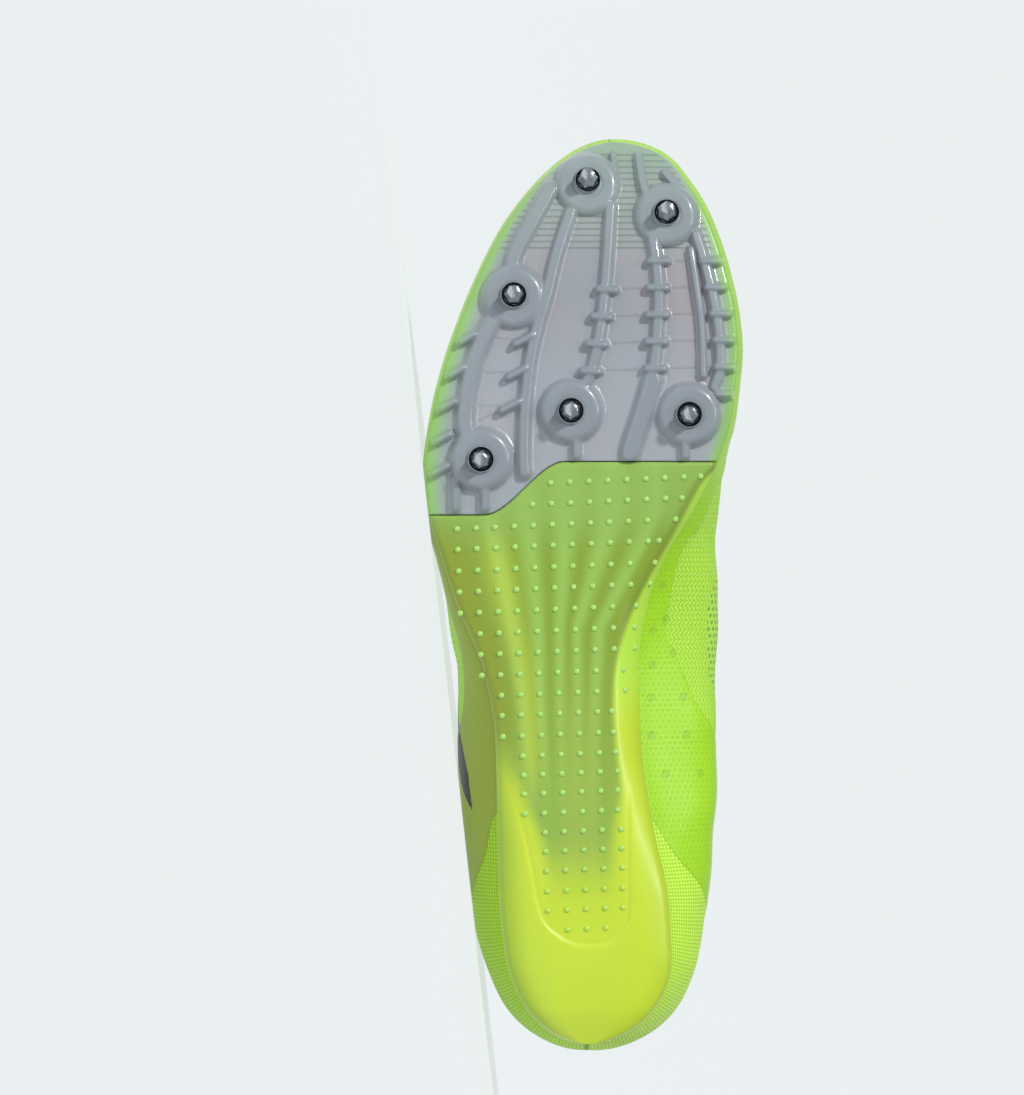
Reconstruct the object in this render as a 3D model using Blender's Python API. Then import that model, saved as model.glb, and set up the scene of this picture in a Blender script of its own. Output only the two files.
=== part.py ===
"""Track spike shoe for the right foot, empty and lying on its outer side.

Every piece is modelled in the shoe's own frame, as if it stood on the floor: X from heel to toe, Y towards
the inner side of the foot, Z up, in metres. The pieces hang on one empty, which lays the shoe down on the
edge of its sole and the side of its upper.
"""

import math

import bmesh
import bpy
import numpy as np
from mathutils import Matrix, Vector

# Driving dimensions of the shoe
LENGTH = 0.278  # of the sole, heel to toe, and what the shares of length refer to
BALL_WIDTH = 0.0916  # width of the sole at the ball of the foot
UPPER_HEIGHT = 0.084  # floor to the top eyelets
TOE_SWING = 0.008  # how far the toe leans to the inner side
TOE_SPRING = 0.018  # rise of the sole under the tip of the toe
EDGE_CUP = 0.008  # rise of the sole's edge where the arch is hollowest
HEEL_STACK = 0.008  # thickness of the sole under the heel
FIT_GAP = 0.0003  # between pieces that touch

# The upper's wall and its opening
WALL = 0.0016
SEAT_INSET = 0.0006  # the upper's foot stands this far inside the sole's edge
THROAT_FRONT = 0.687  # where the lacing opening ends, from the heel, as a share of LENGTH
THROAT_ROUND = 0.020  # length over which the opening's front end is rounded
EYELET_ROWS = 6
EYELET_RADIUS = 0.0021
EYELET_MARGIN = 0.0075  # eyelet centre to the edge of the opening
FIRST_EYELET = 0.662  # front pair, from the heel, as a share of LENGTH
LAST_EYELET = 0.457  # top pair, likewise

# The sole
PLATE_THICKNESS = 0.0023
SKIN_STEP = 0.0005  # the rear sole stands this much prouder than the plate's web
PLATE_REAR_INNER = 0.6475  # where plate and rear sole meet, on the inner side, as a share of LENGTH
PLATE_REAR_OUTER = 0.5888  # and on the outer side
SEAM_MIDDLE = -0.213  # where that joint swings from one to the other, as a share of BALL_WIDTH
SEAM_REACH = 0.136  # half the width of the swing, likewise
SOLE_ROUND_TOE = 0.216  # length of the toe's rounding, as a share of LENGTH
SOLE_ROUND_HEEL = 0.101  # and of the heel's
SOLE_START = 0.0018  # the sole's rear end, inside the upper's bulge
TOE_REACH = 0.0008  # the sole's tip, past LENGTH
SOLE_END = LENGTH + TOE_REACH

# Spike seats and spikes
BOSS_TOP_RADIUS = 0.0080
BOSS_FOOT_RADIUS = 0.0102
BOSS_HEIGHT = 0.0030
BOSS_LEAN = 0.6  # share of the sole's local slope that a spike follows
SPIKE_FLANGE_RADIUS = 0.0041
SPIKE_FLANGE = 0.0009
SPIKE_BASE_RADIUS = 0.0033
SPIKE_TIP_RADIUS = 0.0018
SPIKE_LENGTH = 0.0060
SPIKE_FLAT = 0.0022  # half the distance over the two wrench flats
STEM_RADIUS = 0.0024
STEM_LENGTH = 0.0030

# Ribs and bars of the plate
RIB_HEIGHT = 0.0024
BAR_HEIGHT = 0.0033
BAR_RADIUS = 0.0012

# Soft pieces
INSOLE_THICKNESS = 0.0025
INSOLE_CLEARANCE = 0.0014  # between the insole's edge and the upper's wall
TONGUE_THICKNESS = 0.0022
TONGUE_HALF_WIDTH = 0.0215
TONGUE_DROP = 0.0012  # how far the tongue lies below the upper's inner face
TONGUE_FRONT = 0.730  # its front edge, from the heel, as a share of LENGTH
TONGUE_WIDENS = 0.05  # length over which it widens
TONGUE_TIP_RISE = 0.026  # free length above the top eyelets
TONGUE_TIP_BEND = 40  # how much steeper the free end stands than the throat, in degrees
TONGUE_TIP_STEPS = (0.0, 0.2, 0.4, 0.6, 0.78, 0.92, 1.0)
LACE_WIDTH = 0.0060
LACE_THICKNESS = 0.0012
LACE_LIFT = 0.0011  # between the upper and the lace
LACE_CROSSING = 0.0006  # how much higher the run on top lies
LACE_OVERSHOOT = 0.0016  # past an eyelet's centre
FLOOR_PRESS = 0.0006  # how far rubber and cloth flatten where they lie on the floor

# Weights in kg per cubic metre, for the balance of the lying shoe
DENSITY = {"steel": 7850, "plate": 1100, "rear_sole": 1100, "upper": 900}
CLOTH_DENSITY = 300

# Mesh density
UPPER_COLUMNS = 42
UPPER_ROWS = 8
PLATE_COLUMNS = 15
REAR_COLUMNS = 22
SOLE_LANES = 14

# Sole outline: along as a share of LENGTH, the rest as shares of BALL_WIDTH from the centre line
#          along  outer  inner
OUTLINE = (
    (0.000, 0.258, 0.283),
    (0.070, 0.266, 0.283),
    (0.160, 0.295, 0.272),
    (0.250, 0.302, 0.217),
    (0.340, 0.310, 0.179),
    (0.415, 0.347, 0.172),
    (0.485, 0.432, 0.199),
    (0.540, 0.490, 0.256),
    (0.595, 0.544, 0.345),
    (0.650, 0.561, 0.416),
    (0.705, 0.549, 0.451),
    (0.760, 0.519, 0.454),
    (0.810, 0.481, 0.436),
    (0.865, 0.450, 0.412),
    (0.910, 0.431, 0.403),
    (0.955, 0.404, 0.402),
    (1.000, 0.371, 0.470),
)

# Sole profile: rise of the bottom as a share of TOE_SPRING, cup of each edge as a share of EDGE_CUP,
# thickness in the middle and at the edge as shares of HEEL_STACK
#          along  rise  outer_cup inner_cup middle edge
SOLE = (
    (0.000, 0.30, 0.30, 0.30, 0.90, 0.70),
    (0.050, 0.06, 0.45, 0.45, 1.00, 0.70),
    (0.120, 0.00, 0.50, 0.50, 1.00, 0.65),
    (0.230, 0.00, 0.50, 0.60, 1.00, 0.60),
    (0.340, 0.06, 0.55, 0.90, 0.80, 0.50),
    (0.450, 0.11, 0.55, 1.00, 0.58, 0.42),
    (0.560, 0.06, 0.35, 0.60, 0.38, 0.34),
    (0.650, 0.00, 0.22, 0.26, 0.28, 0.27),
    (0.740, 0.03, 0.20, 0.20, 0.26, 0.26),
    (0.820, 0.15, 0.20, 0.20, 0.26, 0.26),
    (0.900, 0.39, 0.20, 0.20, 0.26, 0.26),
    (0.955, 0.63, 0.16, 0.16, 0.26, 0.26),
    (1.000, 1.00, 0.10, 0.10, 0.26, 0.26),
)

# Upper sections, heel to toe. Each lies in an upright plane through the centre line at `spine` (share of
# LENGTH), turned `turn` degrees from straight ahead. `over_*` is how far the upper bulges past the sole's
# edge, `shoulder_*` and `top_out` are distances from the centre line, all as shares of BALL_WIDTH.
# `belly_up` is measured from the sole's rim, `shoulder_up` and `top_up` from the floor, as shares of
# UPPER_HEIGHT. `start` and `top` are the wall's slopes at its two ends, in degrees.
# Columns: spine, turn, over_outer, over_inner, belly_up, shoulder_outer, shoulder_inner, shoulder_up,
# top_out, top_up, start, top
UPPER = (
    (0.122, 180, 0.046, 0.046, 0.200, 0.330, 0.330, 0.700, 0.322, 0.930, 60, 96),
    (0.122, 143, 0.055, 0.066, 0.200, 0.330, 0.330, 0.680, 0.314, 0.900, 55, 94),
    (0.130, 112, 0.070, 0.090, 0.200, 0.345, 0.345, 0.640, 0.312, 0.840, 50, 92),
    (0.187, 90, 0.104, 0.150, 0.205, 0.368, 0.368, 0.580, 0.325, 0.765, 45, 90),
    (0.270, 90, 0.126, 0.230, 0.215, 0.388, 0.388, 0.540, 0.342, 0.715, 42, 86),
    (0.353, 90, 0.117, 0.259, 0.225, 0.390, 0.388, 0.560, 0.335, 0.790, 38, 80),
    (0.432, 90, 0.079, 0.257, 0.215, 0.375, 0.375, 0.690, 0.262, 0.975, 40, 56),
    (0.504, 90, 0.028, 0.221, 0.190, 0.380, 0.360, 0.655, 0.195, 0.915, 48, 40),
    (0.576, 90, 0.003, 0.110, 0.165, 0.400, 0.355, 0.570, 0.160, 0.800, 58, 31),
    (0.640, 90, 0.000, 0.038, 0.150, 0.415, 0.360, 0.490, 0.140, 0.700, 66, 25),
    (0.690, 90, 0.001, 0.022, 0.140, 0.400, 0.350, 0.450, 0.130, 0.650, 70, 17),
    (0.762, 90, 0.005, 0.019, 0.135, 0.370, 0.320, 0.420, 0.000, 0.575, 72, 0),
    (0.828, 84, 0.005, 0.018, 0.130, 0.325, 0.280, 0.415, 0.000, 0.520, 72, 0),
    (0.880, 62, 0.008, 0.017, 0.115, 0.275, 0.250, 0.425, 0.000, 0.490, 72, 0),
    (0.902, 30, 0.012, 0.015, 0.095, 0.235, 0.225, 0.435, 0.000, 0.480, 72, 0),
    (0.908, 0, 0.014, 0.014, 0.080, 0.205, 0.205, 0.442, 0.000, 0.478, 72, 0),
)
THROAT_ROWS = (6, 10)  # rows of UPPER that border the lacing opening

# Spike seats: along and across as shares of LENGTH and BALL_WIDTH
SPIKES = (
    (0.955, 0.000),
    (0.920, 0.263),
    (0.829, -0.247),
    (0.703, -0.057),
    (0.699, 0.336),
    (0.650, -0.356),
)

# Ribs: width as a share of BALL_WIDTH, then points along and across in the same shares as SPIKES
RIBS = (
    (0.066, ((0.950, -0.126), (0.910, -0.191), (0.874, -0.247), (0.850, -0.250))),
    (0.052, ((0.921, -0.060), (0.874, -0.106), (0.834, -0.135), (0.791, -0.172), (0.754, -0.195),
             (0.705, -0.210), (0.656, -0.214), (0.635, -0.211))),
    (0.047, ((0.930, 0.076), (0.864, 0.063), (0.808, 0.046), (0.777, 0.032), (0.746, 0.009),
             (0.719, -0.022))),
    (0.036, ((0.987, 0.172), (0.957, 0.183), (0.932, 0.207))),
    (0.048, ((0.896, 0.216), (0.874, 0.225), (0.838, 0.236), (0.778, 0.228), (0.740, 0.214))),
    (0.083, ((0.737, 0.214), (0.700, 0.181), (0.673, 0.153), (0.657, 0.139))),
    (0.043, ((0.898, 0.362), (0.874, 0.384), (0.840, 0.410), (0.795, 0.435), (0.751, 0.440), (0.729, 0.421))),
    (0.030, ((0.881, 0.344), (0.840, 0.362), (0.795, 0.379), (0.742, 0.383))),
    (0.026, ((0.989, 0.087), (0.962, 0.091))),
    (0.033, ((0.967, 0.260), (0.945, 0.318))),
    (0.075, ((0.806, -0.311), (0.791, -0.338), (0.761, -0.377), (0.727, -0.400), (0.693, -0.410),
             (0.669, -0.398))),
    (0.037, ((0.673, -0.039), (0.654, -0.039))),
    (0.037, ((0.669, 0.323), (0.654, 0.323))),
    (0.037, ((0.630, -0.343), (0.597, -0.343))),
    (0.037, ((0.630, -0.440), (0.597, -0.440))),
)

# Cross bars on the ribs: the route of their centres as in SPIKES, how many, length as a share of
# BALL_WIDTH and turn in degrees
BARS = (
    (((0.836, 0.063), (0.746, 0.009)), 4, 0.080, 3),
    (((0.868, 0.236), (0.749, 0.223)), 5, 0.083, 0),
    (((0.868, 0.409), (0.795, 0.447), (0.721, 0.457)), 6, 0.078, 0),
    (((0.783, -0.402), (0.709, -0.469), (0.638, -0.494)), 5, 0.078, -30),
    (((0.781, -0.214), (0.708, -0.259)), 3, 0.090, -28),
)


def columns(table):
    """The columns of a table as arrays."""
    return [np.array(column, float) for column in zip(*table)]


def smooth_between(knots, values, at):
    """Values at the places `at`, on a smooth curve through the knots that does not overshoot."""
    knots, values, at = (np.asarray(a, float) for a in (knots, values, at))
    step = np.diff(knots)
    slope = np.diff(values) / step
    inner = np.where(slope[1:] * slope[:-1] > 0, 1.0, 0.0)
    weight_a = 2 * step[1:] + step[:-1]
    weight_b = step[1:] + 2 * step[:-1]
    safe_a = np.where(slope[:-1] == 0, 1, slope[:-1])
    safe_b = np.where(slope[1:] == 0, 1, slope[1:])
    mean = (weight_a + weight_b) / (weight_a / safe_a + weight_b / safe_b)
    tangent = np.concatenate([[slope[0]], mean * inner, [slope[-1]]])
    i = np.clip(np.searchsorted(knots, at) - 1, 0, len(step) - 1)
    u = (at - knots[i]) / step[i]
    h = step[i]
    return (
        values[i] * (1 + 2 * u) * (1 - u) ** 2
        + values[i + 1] * u * u * (3 - 2 * u)
        + h * tangent[i] * u * (1 - u) ** 2
        - h * tangent[i + 1] * u * u * (1 - u)
    )


def curve_through(values, at):
    """Values at fractional row numbers, on a smooth curve through a table's rows."""
    values = np.asarray(values, float)
    padded = np.concatenate([[2 * values[0] - values[1]], values, [2 * values[-1] - values[-2]]])
    at = np.clip(np.asarray(at, float), 0, len(values) - 1)
    i = np.minimum(at.astype(int), len(values) - 2)
    u = at - i
    a, b, c, d = padded[i], padded[i + 1], padded[i + 2], padded[i + 3]
    return 0.5 * (
        2 * b + (c - a) * u + (2 * a - 5 * b + 4 * c - d) * u**2 + (3 * b - 3 * c + d - a) * u**3
    )


def ease(x):
    """0 below 0, 1 above 1, and a smooth step between."""
    x = np.clip(x, 0, 1)
    return x * x * (3 - 2 * x)


def round_end(x):
    """0 at 0 and 1 from 1 on, as a quarter of a circle."""
    return np.sqrt(1 - (1 - np.clip(x, 0, 1)) ** 2)


def centre_line(x):
    """Where the shoe's middle runs, across, at a place along its length."""
    return TOE_SWING * ease((np.asarray(x, float) / LENGTH - 0.5) / 0.5)


def sole_half_width(x, side):
    """Centre line to the sole's edge. side is 1 for the inner side and -1 for the outer."""
    along, outer, inner = columns(OUTLINE)
    x = np.asarray(x, float)
    wide = smooth_between(along * LENGTH, (inner if side > 0 else outer) * BALL_WIDTH, x)
    heel = round_end((x - SOLE_START) / (SOLE_ROUND_HEEL * LENGTH))
    ends = heel * round_end((SOLE_END - x) / (SOLE_ROUND_TOE * LENGTH))
    return wide * ends


def sole_column(x, name):
    """One column of SOLE at a place along the length."""
    along, *rest = columns(SOLE)
    names = ("rise", "outer_cup", "inner_cup", "middle", "edge")
    return smooth_between(along, rest[names.index(name)], np.asarray(x, float) / LENGTH)


def edge_share(x, y):
    """Where a point lies between the centre line, 0, and the sole's edge, 1."""
    across = np.asarray(y, float) - centre_line(x)
    half = np.where(across > 0, sole_half_width(x, 1), sole_half_width(x, -1))
    return np.clip(np.abs(across) / np.maximum(half, 1e-4), 0, 1.2)


def curl(share):
    """How the sole's cup grows from its flat middle to its edge."""
    flat = 0.4
    return (np.clip(share - flat, 0, None) / (1 - flat)) ** 2


def sole_bottom(x, y):
    """Height of the sole's smooth underside."""
    inner = np.asarray(y, float) > centre_line(x)
    cup = EDGE_CUP * np.where(inner, sole_column(x, "inner_cup"), sole_column(x, "outer_cup"))
    return TOE_SPRING * sole_column(x, "rise") + cup * curl(edge_share(x, y))


def sole_top(x, y):
    """Height of the surface that carries the upper and the insole."""
    inner = np.asarray(y, float) > centre_line(x)
    cup = EDGE_CUP * np.where(inner, sole_column(x, "inner_cup"), sole_column(x, "outer_cup"))
    middle = HEEL_STACK * sole_column(x, "middle")
    edge = HEEL_STACK * sole_column(x, "edge")
    return (
        TOE_SPRING * sole_column(x, "rise")
        + middle
        + (cup + edge - middle) * curl(edge_share(x, y))
    )


def seam_along(y):
    """Where the plate ends and the rear sole begins, along the shoe."""
    swing = ease((np.asarray(y, float) / BALL_WIDTH - SEAM_MIDDLE) / (2 * SEAM_REACH) + 0.5)
    return LENGTH * (PLATE_REAR_OUTER + (PLATE_REAR_INNER - PLATE_REAR_OUTER) * swing)


def edge_distance(spine, direction, inset):
    """Distance from a point on the centre line to the sole's edge, less an inset, along a direction."""
    reach = np.linspace(0, 0.7 * BALL_WIDTH, 600)
    x = spine[0] + reach * direction[0]
    y = spine[1] + reach * direction[1]
    side = 1 if direction[1] >= 0 else -1
    inside = (np.abs(y - centre_line(x)) <= sole_half_width(np.clip(x, 0, SOLE_END), side) - 1e-6) & (
        (x > SOLE_START) & (x < SOLE_END)
    )
    inside[0] = True
    last = int(np.argmin(inside)) if not inside.all() else len(reach)
    return reach[last - 1] - inset


def upper_section(row, side):
    """One section of the upper's outer face, sole to top edge, as points in the shoe's frame."""
    at = [curve_through(column, row) for column in columns(UPPER)]
    spine_x, turn, over_o, over_i, belly_up, sho_o, sho_i, sho_up, top_out, top_up, start, top = at
    over, shoulder = (over_i, sho_i) if side > 0 else (over_o, sho_o)
    spine_x *= LENGTH
    spine = (spine_x, float(centre_line(spine_x)))
    turn = math.radians(min(max(turn, 0.0), 180.0))
    direction = (math.cos(turn), side * math.sin(turn))
    foot_out = edge_distance(spine, direction, SEAT_INSET)
    foot_x = spine[0] + foot_out * direction[0]
    foot_y = spine[1] + foot_out * direction[1]
    foot_up = float(sole_top(foot_x, foot_y)) + FIT_GAP
    top_out = top_out * BALL_WIDTH * throat_share(row, spine_x)
    knots = np.array(
        [
            (foot_out, foot_up),
            (foot_out + SEAT_INSET + over * BALL_WIDTH, foot_up + belly_up * UPPER_HEIGHT),
            (shoulder * BALL_WIDTH, sho_up * UPPER_HEIGHT),
            (top_out, top_up * UPPER_HEIGHT),
        ]
    )
    start, top = math.radians(start), math.radians(top)
    ends = (np.array([math.cos(start), math.sin(start)]), np.array([-math.cos(top), math.sin(top)]))
    flat = smooth_run(knots, ends, UPPER_ROWS)
    return np.array(
        [(spine[0] + r * direction[0], spine[1] + r * direction[1], z) for r, z in flat]
    )


def throat_share(row, x):
    """1 along the opening, falling to 0 in a rounded end where the lacing opening closes."""
    if row < THROAT_ROWS[0]:
        return 1.0
    return float(round_end(max(THROAT_FRONT * LENGTH - x, 0) / THROAT_ROUND))


def smooth_run(knots, ends, steps):
    """Points evenly spaced on a curve through the knots, leaving and arriving along two directions."""
    legs = np.linalg.norm(np.diff(knots, axis=0), axis=1)
    tangents = [ends[0]]
    for i in range(1, len(knots) - 1):
        back = (knots[i] - knots[i - 1]) / legs[i - 1]
        ahead = (knots[i + 1] - knots[i]) / legs[i]
        mean = back * legs[i] + ahead * legs[i - 1]
        tangents.append(mean / np.linalg.norm(mean))
    tangents.append(ends[1])
    fine = []
    for i, leg in enumerate(legs):
        for u in np.linspace(0, 1, 24, endpoint=i == len(legs) - 1):
            fine.append(
                knots[i] * (1 + 2 * u) * (1 - u) ** 2
                + knots[i + 1] * u * u * (3 - 2 * u)
                + leg * tangents[i] * u * (1 - u) ** 2
                - leg * tangents[i + 1] * u * u * (1 - u)
            )
    fine = np.array(fine)
    length = np.concatenate([[0], np.cumsum(np.linalg.norm(np.diff(fine, axis=0), axis=1))])
    even = np.linspace(0, length[-1], steps + 1)
    return np.column_stack([np.interp(even, length, fine[:, k]) for k in range(2)])


def throat_end_row():
    """The fractional row of UPPER at which the lacing opening closes."""
    rows = np.linspace(THROAT_ROWS[0], len(UPPER) - 1, 2000)
    spine = curve_through(columns(UPPER)[0], rows) * LENGTH
    return float(np.interp(THROAT_FRONT * LENGTH, spine, rows))


def upper_rows():
    """Fractional rows of UPPER at which sections are taken, and how many of them border the opening."""
    end = throat_end_row()
    rear = round(UPPER_COLUMNS * 0.62)
    open_rows = list(np.linspace(0, end - 0.9, rear - 5, endpoint=False))
    closing = [end - 0.9 * math.cos(a) for a in np.linspace(0, math.pi / 2, 6)]
    closed_rows = list(np.linspace(end, len(UPPER) - 1, UPPER_COLUMNS - rear))[1:]
    return open_rows + closing + closed_rows, len(open_rows) + len(closing) - 1


def add_object(name, mesh, material):
    """A named object that shows a mesh in one material."""
    piece = bpy.data.objects.new(name, mesh)
    bpy.context.scene.collection.objects.link(piece)
    mesh.materials.append(material)
    return piece


def mesh_of(name, points, faces):
    """A mesh with its faces turned outwards."""
    mesh = bpy.data.meshes.new(name)
    mesh.from_pydata([tuple(p) for p in points], [], faces)
    shape = bmesh.new()
    shape.from_mesh(mesh)
    bmesh.ops.recalc_face_normals(shape, faces=shape.faces)
    shape.to_mesh(mesh)
    shape.free()
    return mesh


def make_material(name, color, roughness, metallic=0.0):
    """A plain Principled material."""
    material = bpy.data.materials.new(name)
    material.use_nodes = True
    shader = material.node_tree.nodes["Principled BSDF"]
    shader.inputs["Base Color"].default_value = (*color, 1.0)
    shader.inputs["Roughness"].default_value = roughness
    shader.inputs["Metallic"].default_value = metallic
    return material


def smooth(piece, angle=40):
    """Shades a piece smooth, with sharp edges past an angle."""
    piece.data.shade_smooth()
    piece.data.set_sharp_from_angle(angle=math.radians(angle))


def vertex_normals(points, faces):
    """Outward normals of an open sheet's points, from its faces."""
    normals = np.zeros_like(points)
    for face in faces:
        a, b, c, d = (points[i] for i in face)
        normal = np.cross(c - a, d - b)
        for i in face:
            normals[i] += normal
    return normals / np.linalg.norm(normals, axis=1)[:, None]


def upper_sheet():
    """The upper's outer face: points, faces, and the point number of each side, column and row."""
    rows, last_open = upper_rows()
    points, number = [], {}

    def place(key, point):
        number[key] = len(points)
        points.append(point)

    for k, row in enumerate(rows):
        for side in (1, -1):
            section = upper_section(row, side)
            for j, point in enumerate(section):
                shared = side < 0 and (
                    k in (0, len(rows) - 1) or (j == UPPER_ROWS and k >= last_open)
                )
                if shared:
                    number[side, k, j] = number[1, k, j]
                else:
                    place((side, k, j), point)
    faces = []
    for side in (1, -1):
        for k in range(len(rows) - 1):
            for j in range(UPPER_ROWS):
                quad = [
                    number[side, k, j],
                    number[side, k, j + 1],
                    number[side, k + 1, j + 1],
                    number[side, k + 1, j],
                ]
                faces.append(quad if side > 0 else quad[::-1])
    return np.array(points), faces, number, len(rows), last_open


def rims(number, count, last_open):
    """The two closed rims of the upper, sole edge and opening, as rings of point numbers."""
    foot = [number[1, k, 0] for k in range(count)]
    foot += [number[-1, k, 0] for k in range(count - 2, 0, -1)]
    mouth = [number[1, k, UPPER_ROWS] for k in range(last_open + 1)]
    mouth += [number[-1, k, UPPER_ROWS] for k in range(last_open - 1, 0, -1)]
    return foot, mouth


def upper_shell(material):
    """The upper as one hollow wall, open below, at the collar and along the throat."""
    points, faces, number, count, last_open = upper_sheet()
    normals = vertex_normals(points, faces)
    inner = points - normals * WALL
    foot, mouth = rims(number, count, last_open)
    for i in foot:
        inner[i, 2] = float(sole_top(inner[i, 0], inner[i, 1])) + FIT_GAP
    shift = len(points)
    both = np.vstack([points, inner])
    all_faces = list(faces) + [[i + shift for i in reversed(face)] for face in faces]
    for ring in (foot, mouth):
        for a, b in zip(ring, ring[1:] + ring[:1]):
            all_faces.append([a, b, b + shift, a + shift])
    piece = add_object("upper", mesh_of("upper", both, all_faces), material)
    for side in (1, -1):
        for n, (x, _) in enumerate(eyelet_places(side)):
            cut_hole(piece, f"eyelet_cutter_{side}_{n}", *eyelet_axis(x, side))
    smooth(piece)
    return piece


def row_at(x):
    """The fractional row of UPPER whose section stands at a place along the lacing."""
    rows = np.linspace(4, 12, 3000)
    return float(np.interp(x, curve_through(columns(UPPER)[0], rows) * LENGTH, rows))


def cone_height(x, y):
    """Height of the upper's outer face over a place in the lacing, carried on across the opening."""
    side = 1 if y >= float(centre_line(x)) else -1
    row = row_at(x)
    section = upper_section(row, side)
    reach = np.abs(section[:, 1] - float(centre_line(x)))
    r = abs(y - float(centre_line(x)))
    edge, height = reach[-1], section[-1, 2]
    if r < edge:
        slope = math.tan(math.radians(float(curve_through(columns(UPPER)[-1], row))))
        return height + slope / (2 * max(edge, 1e-4)) * (edge**2 - r**2)
    high = section[:, 2] > section[:, 2].max() - 0.5 * UPPER_HEIGHT
    order = np.argsort(reach[high])
    return float(np.interp(r, reach[high][order], section[high][order, 2]))


def cone_normal(x, y):
    """The outward normal of that face."""
    step = 0.0008
    along = (cone_height(x + step, y) - cone_height(x - step, y)) / (2 * step)
    across = (cone_height(x, y + step) - cone_height(x, y - step)) / (2 * step)
    return Vector((-along, -across, 1)).normalized()


def eyelet_places(side):
    """Where the eyelets of one side lie, seen from above, front pair first."""
    places = []
    for x in np.linspace(FIRST_EYELET, LAST_EYELET, EYELET_ROWS) * LENGTH:
        section = upper_section(row_at(x), side)
        edge = abs(section[-1, 1] - float(centre_line(x)))
        places.append((x, float(centre_line(x)) + side * (edge + EYELET_MARGIN)))
    return places


def eyelet_axis(x, side):
    """Centre and axis of the eyelet at a place along the lacing."""
    y = dict(eyelet_places(side))[x]
    return Vector((x, y, cone_height(x, y))), cone_normal(x, y)


def cut_hole(piece, name, centre, axis):
    """Cuts a round hole through a wall with a Boolean."""
    shape = bmesh.new()
    bmesh.ops.create_cone(
        shape,
        cap_ends=True,
        segments=8,
        radius1=EYELET_RADIUS,
        radius2=EYELET_RADIUS,
        depth=6 * WALL,
        matrix=Matrix.Translation(centre) @ axis.to_track_quat("Z", "Y").to_matrix().to_4x4(),
    )
    mesh = bpy.data.meshes.new(name)
    shape.to_mesh(mesh)
    shape.free()
    cutter = bpy.data.objects.new(name, mesh)
    bpy.context.scene.collection.objects.link(cutter)
    boolean(piece, cutter, "DIFFERENCE")


def boolean(piece, other, operation):
    """Applies one exact Boolean at once and removes the other object."""
    step = piece.modifiers.new(other.name, "BOOLEAN")
    step.operation = operation
    step.solver = "EXACT"
    step.object = other
    graph = bpy.context.evaluated_depsgraph_get()
    made = bpy.data.meshes.new_from_object(piece.evaluated_get(graph))
    piece.modifiers.clear()
    piece.data = made
    bpy.data.objects.remove(other)


def sole_grid(ends, below, above, columns_along):
    """A closed slab between two heights, on lanes that run from one line across the shoe to another."""
    lanes = np.linspace(-1, 1, SOLE_LANES + 1)
    lanes = np.sign(lanes) * (1 - (1 - np.abs(lanes)) ** 1.35)
    stations = 0.5 - 0.5 * np.cos(np.linspace(0, math.pi, columns_along + 1))
    start, stop = ends
    points, number = [], {}
    for i, share in enumerate(stations):
        for j, lane in enumerate(lanes):
            first, last = start(lane), stop(lane)
            x = first + (last - first) * share
            side = 1 if lane >= 0 else -1
            half = float(sole_half_width(np.clip(x, SOLE_START, SOLE_END), side))
            y = float(centre_line(x)) + lane * half
            closed_end = half < 1e-5
            key = (i, len(lanes) // 2 if closed_end else j)
            if key not in number:
                number[key] = len(points)
                points.append((x, y))
            number[i, j] = number[key]
    flat = np.array(points)
    low = np.column_stack([flat, below(flat[:, 0], flat[:, 1])])
    high = np.column_stack([flat, above(flat[:, 0], flat[:, 1])])
    shift = len(flat)
    faces = []

    def face(corners):
        corners = [c for n, c in enumerate(corners) if c != corners[n - 1]]
        if len(corners) > 2:
            faces.append(corners)

    last_i, last_j = len(stations) - 1, len(lanes) - 1
    for i in range(last_i):
        for j in range(last_j):
            quad = [number[i, j], number[i + 1, j], number[i + 1, j + 1], number[i, j + 1]]
            face(quad[::-1])
            face([c + shift for c in quad])
    border = [(i, 0) for i in range(last_i)] + [(last_i, j) for j in range(last_j)]
    border += [(i, last_j) for i in range(last_i, 0, -1)] + [(0, j) for j in range(last_j, 0, -1)]
    for a, b in zip(border, border[1:] + border[:1]):
        a, b = number[a], number[b]
        if a != b:
            faces.append([a, b, b + shift, a + shift])
    return np.vstack([low, high]), faces


def seam_on_lane(lane, offset):
    """Where a lane meets the joint between plate and rear sole, moved along by an offset."""
    x = PLATE_REAR_INNER * LENGTH
    for _ in range(12):
        side = 1 if lane >= 0 else -1
        y = float(centre_line(x)) + lane * float(sole_half_width(x, side))
        x = float(seam_along(y)) + offset
    return x


def rear_sole(material):
    """The translucent rear sole: heel, hollow arch and the waist up to the plate."""
    points, faces = sole_grid(
        (lambda lane: SOLE_START, lambda lane: seam_on_lane(lane, -FIT_GAP / 2)),
        lambda x, y: sole_bottom(x, y) - SKIN_STEP,
        sole_top,
        REAR_COLUMNS,
    )
    piece = add_object("rear_sole", mesh_of("rear_sole", points, faces), material)
    smooth(piece)
    return piece


def plate_web(x, y):
    """Height of the plate's underside between its ribs."""
    return sole_top(x, y) - PLATE_THICKNESS


def place_on_sole(along, across):
    """A point of the plate's underside, from shares of the shoe's length and ball width."""
    x, y = along * LENGTH, across * BALL_WIDTH
    return Vector((x, y, float(plate_web(x, y))))


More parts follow.
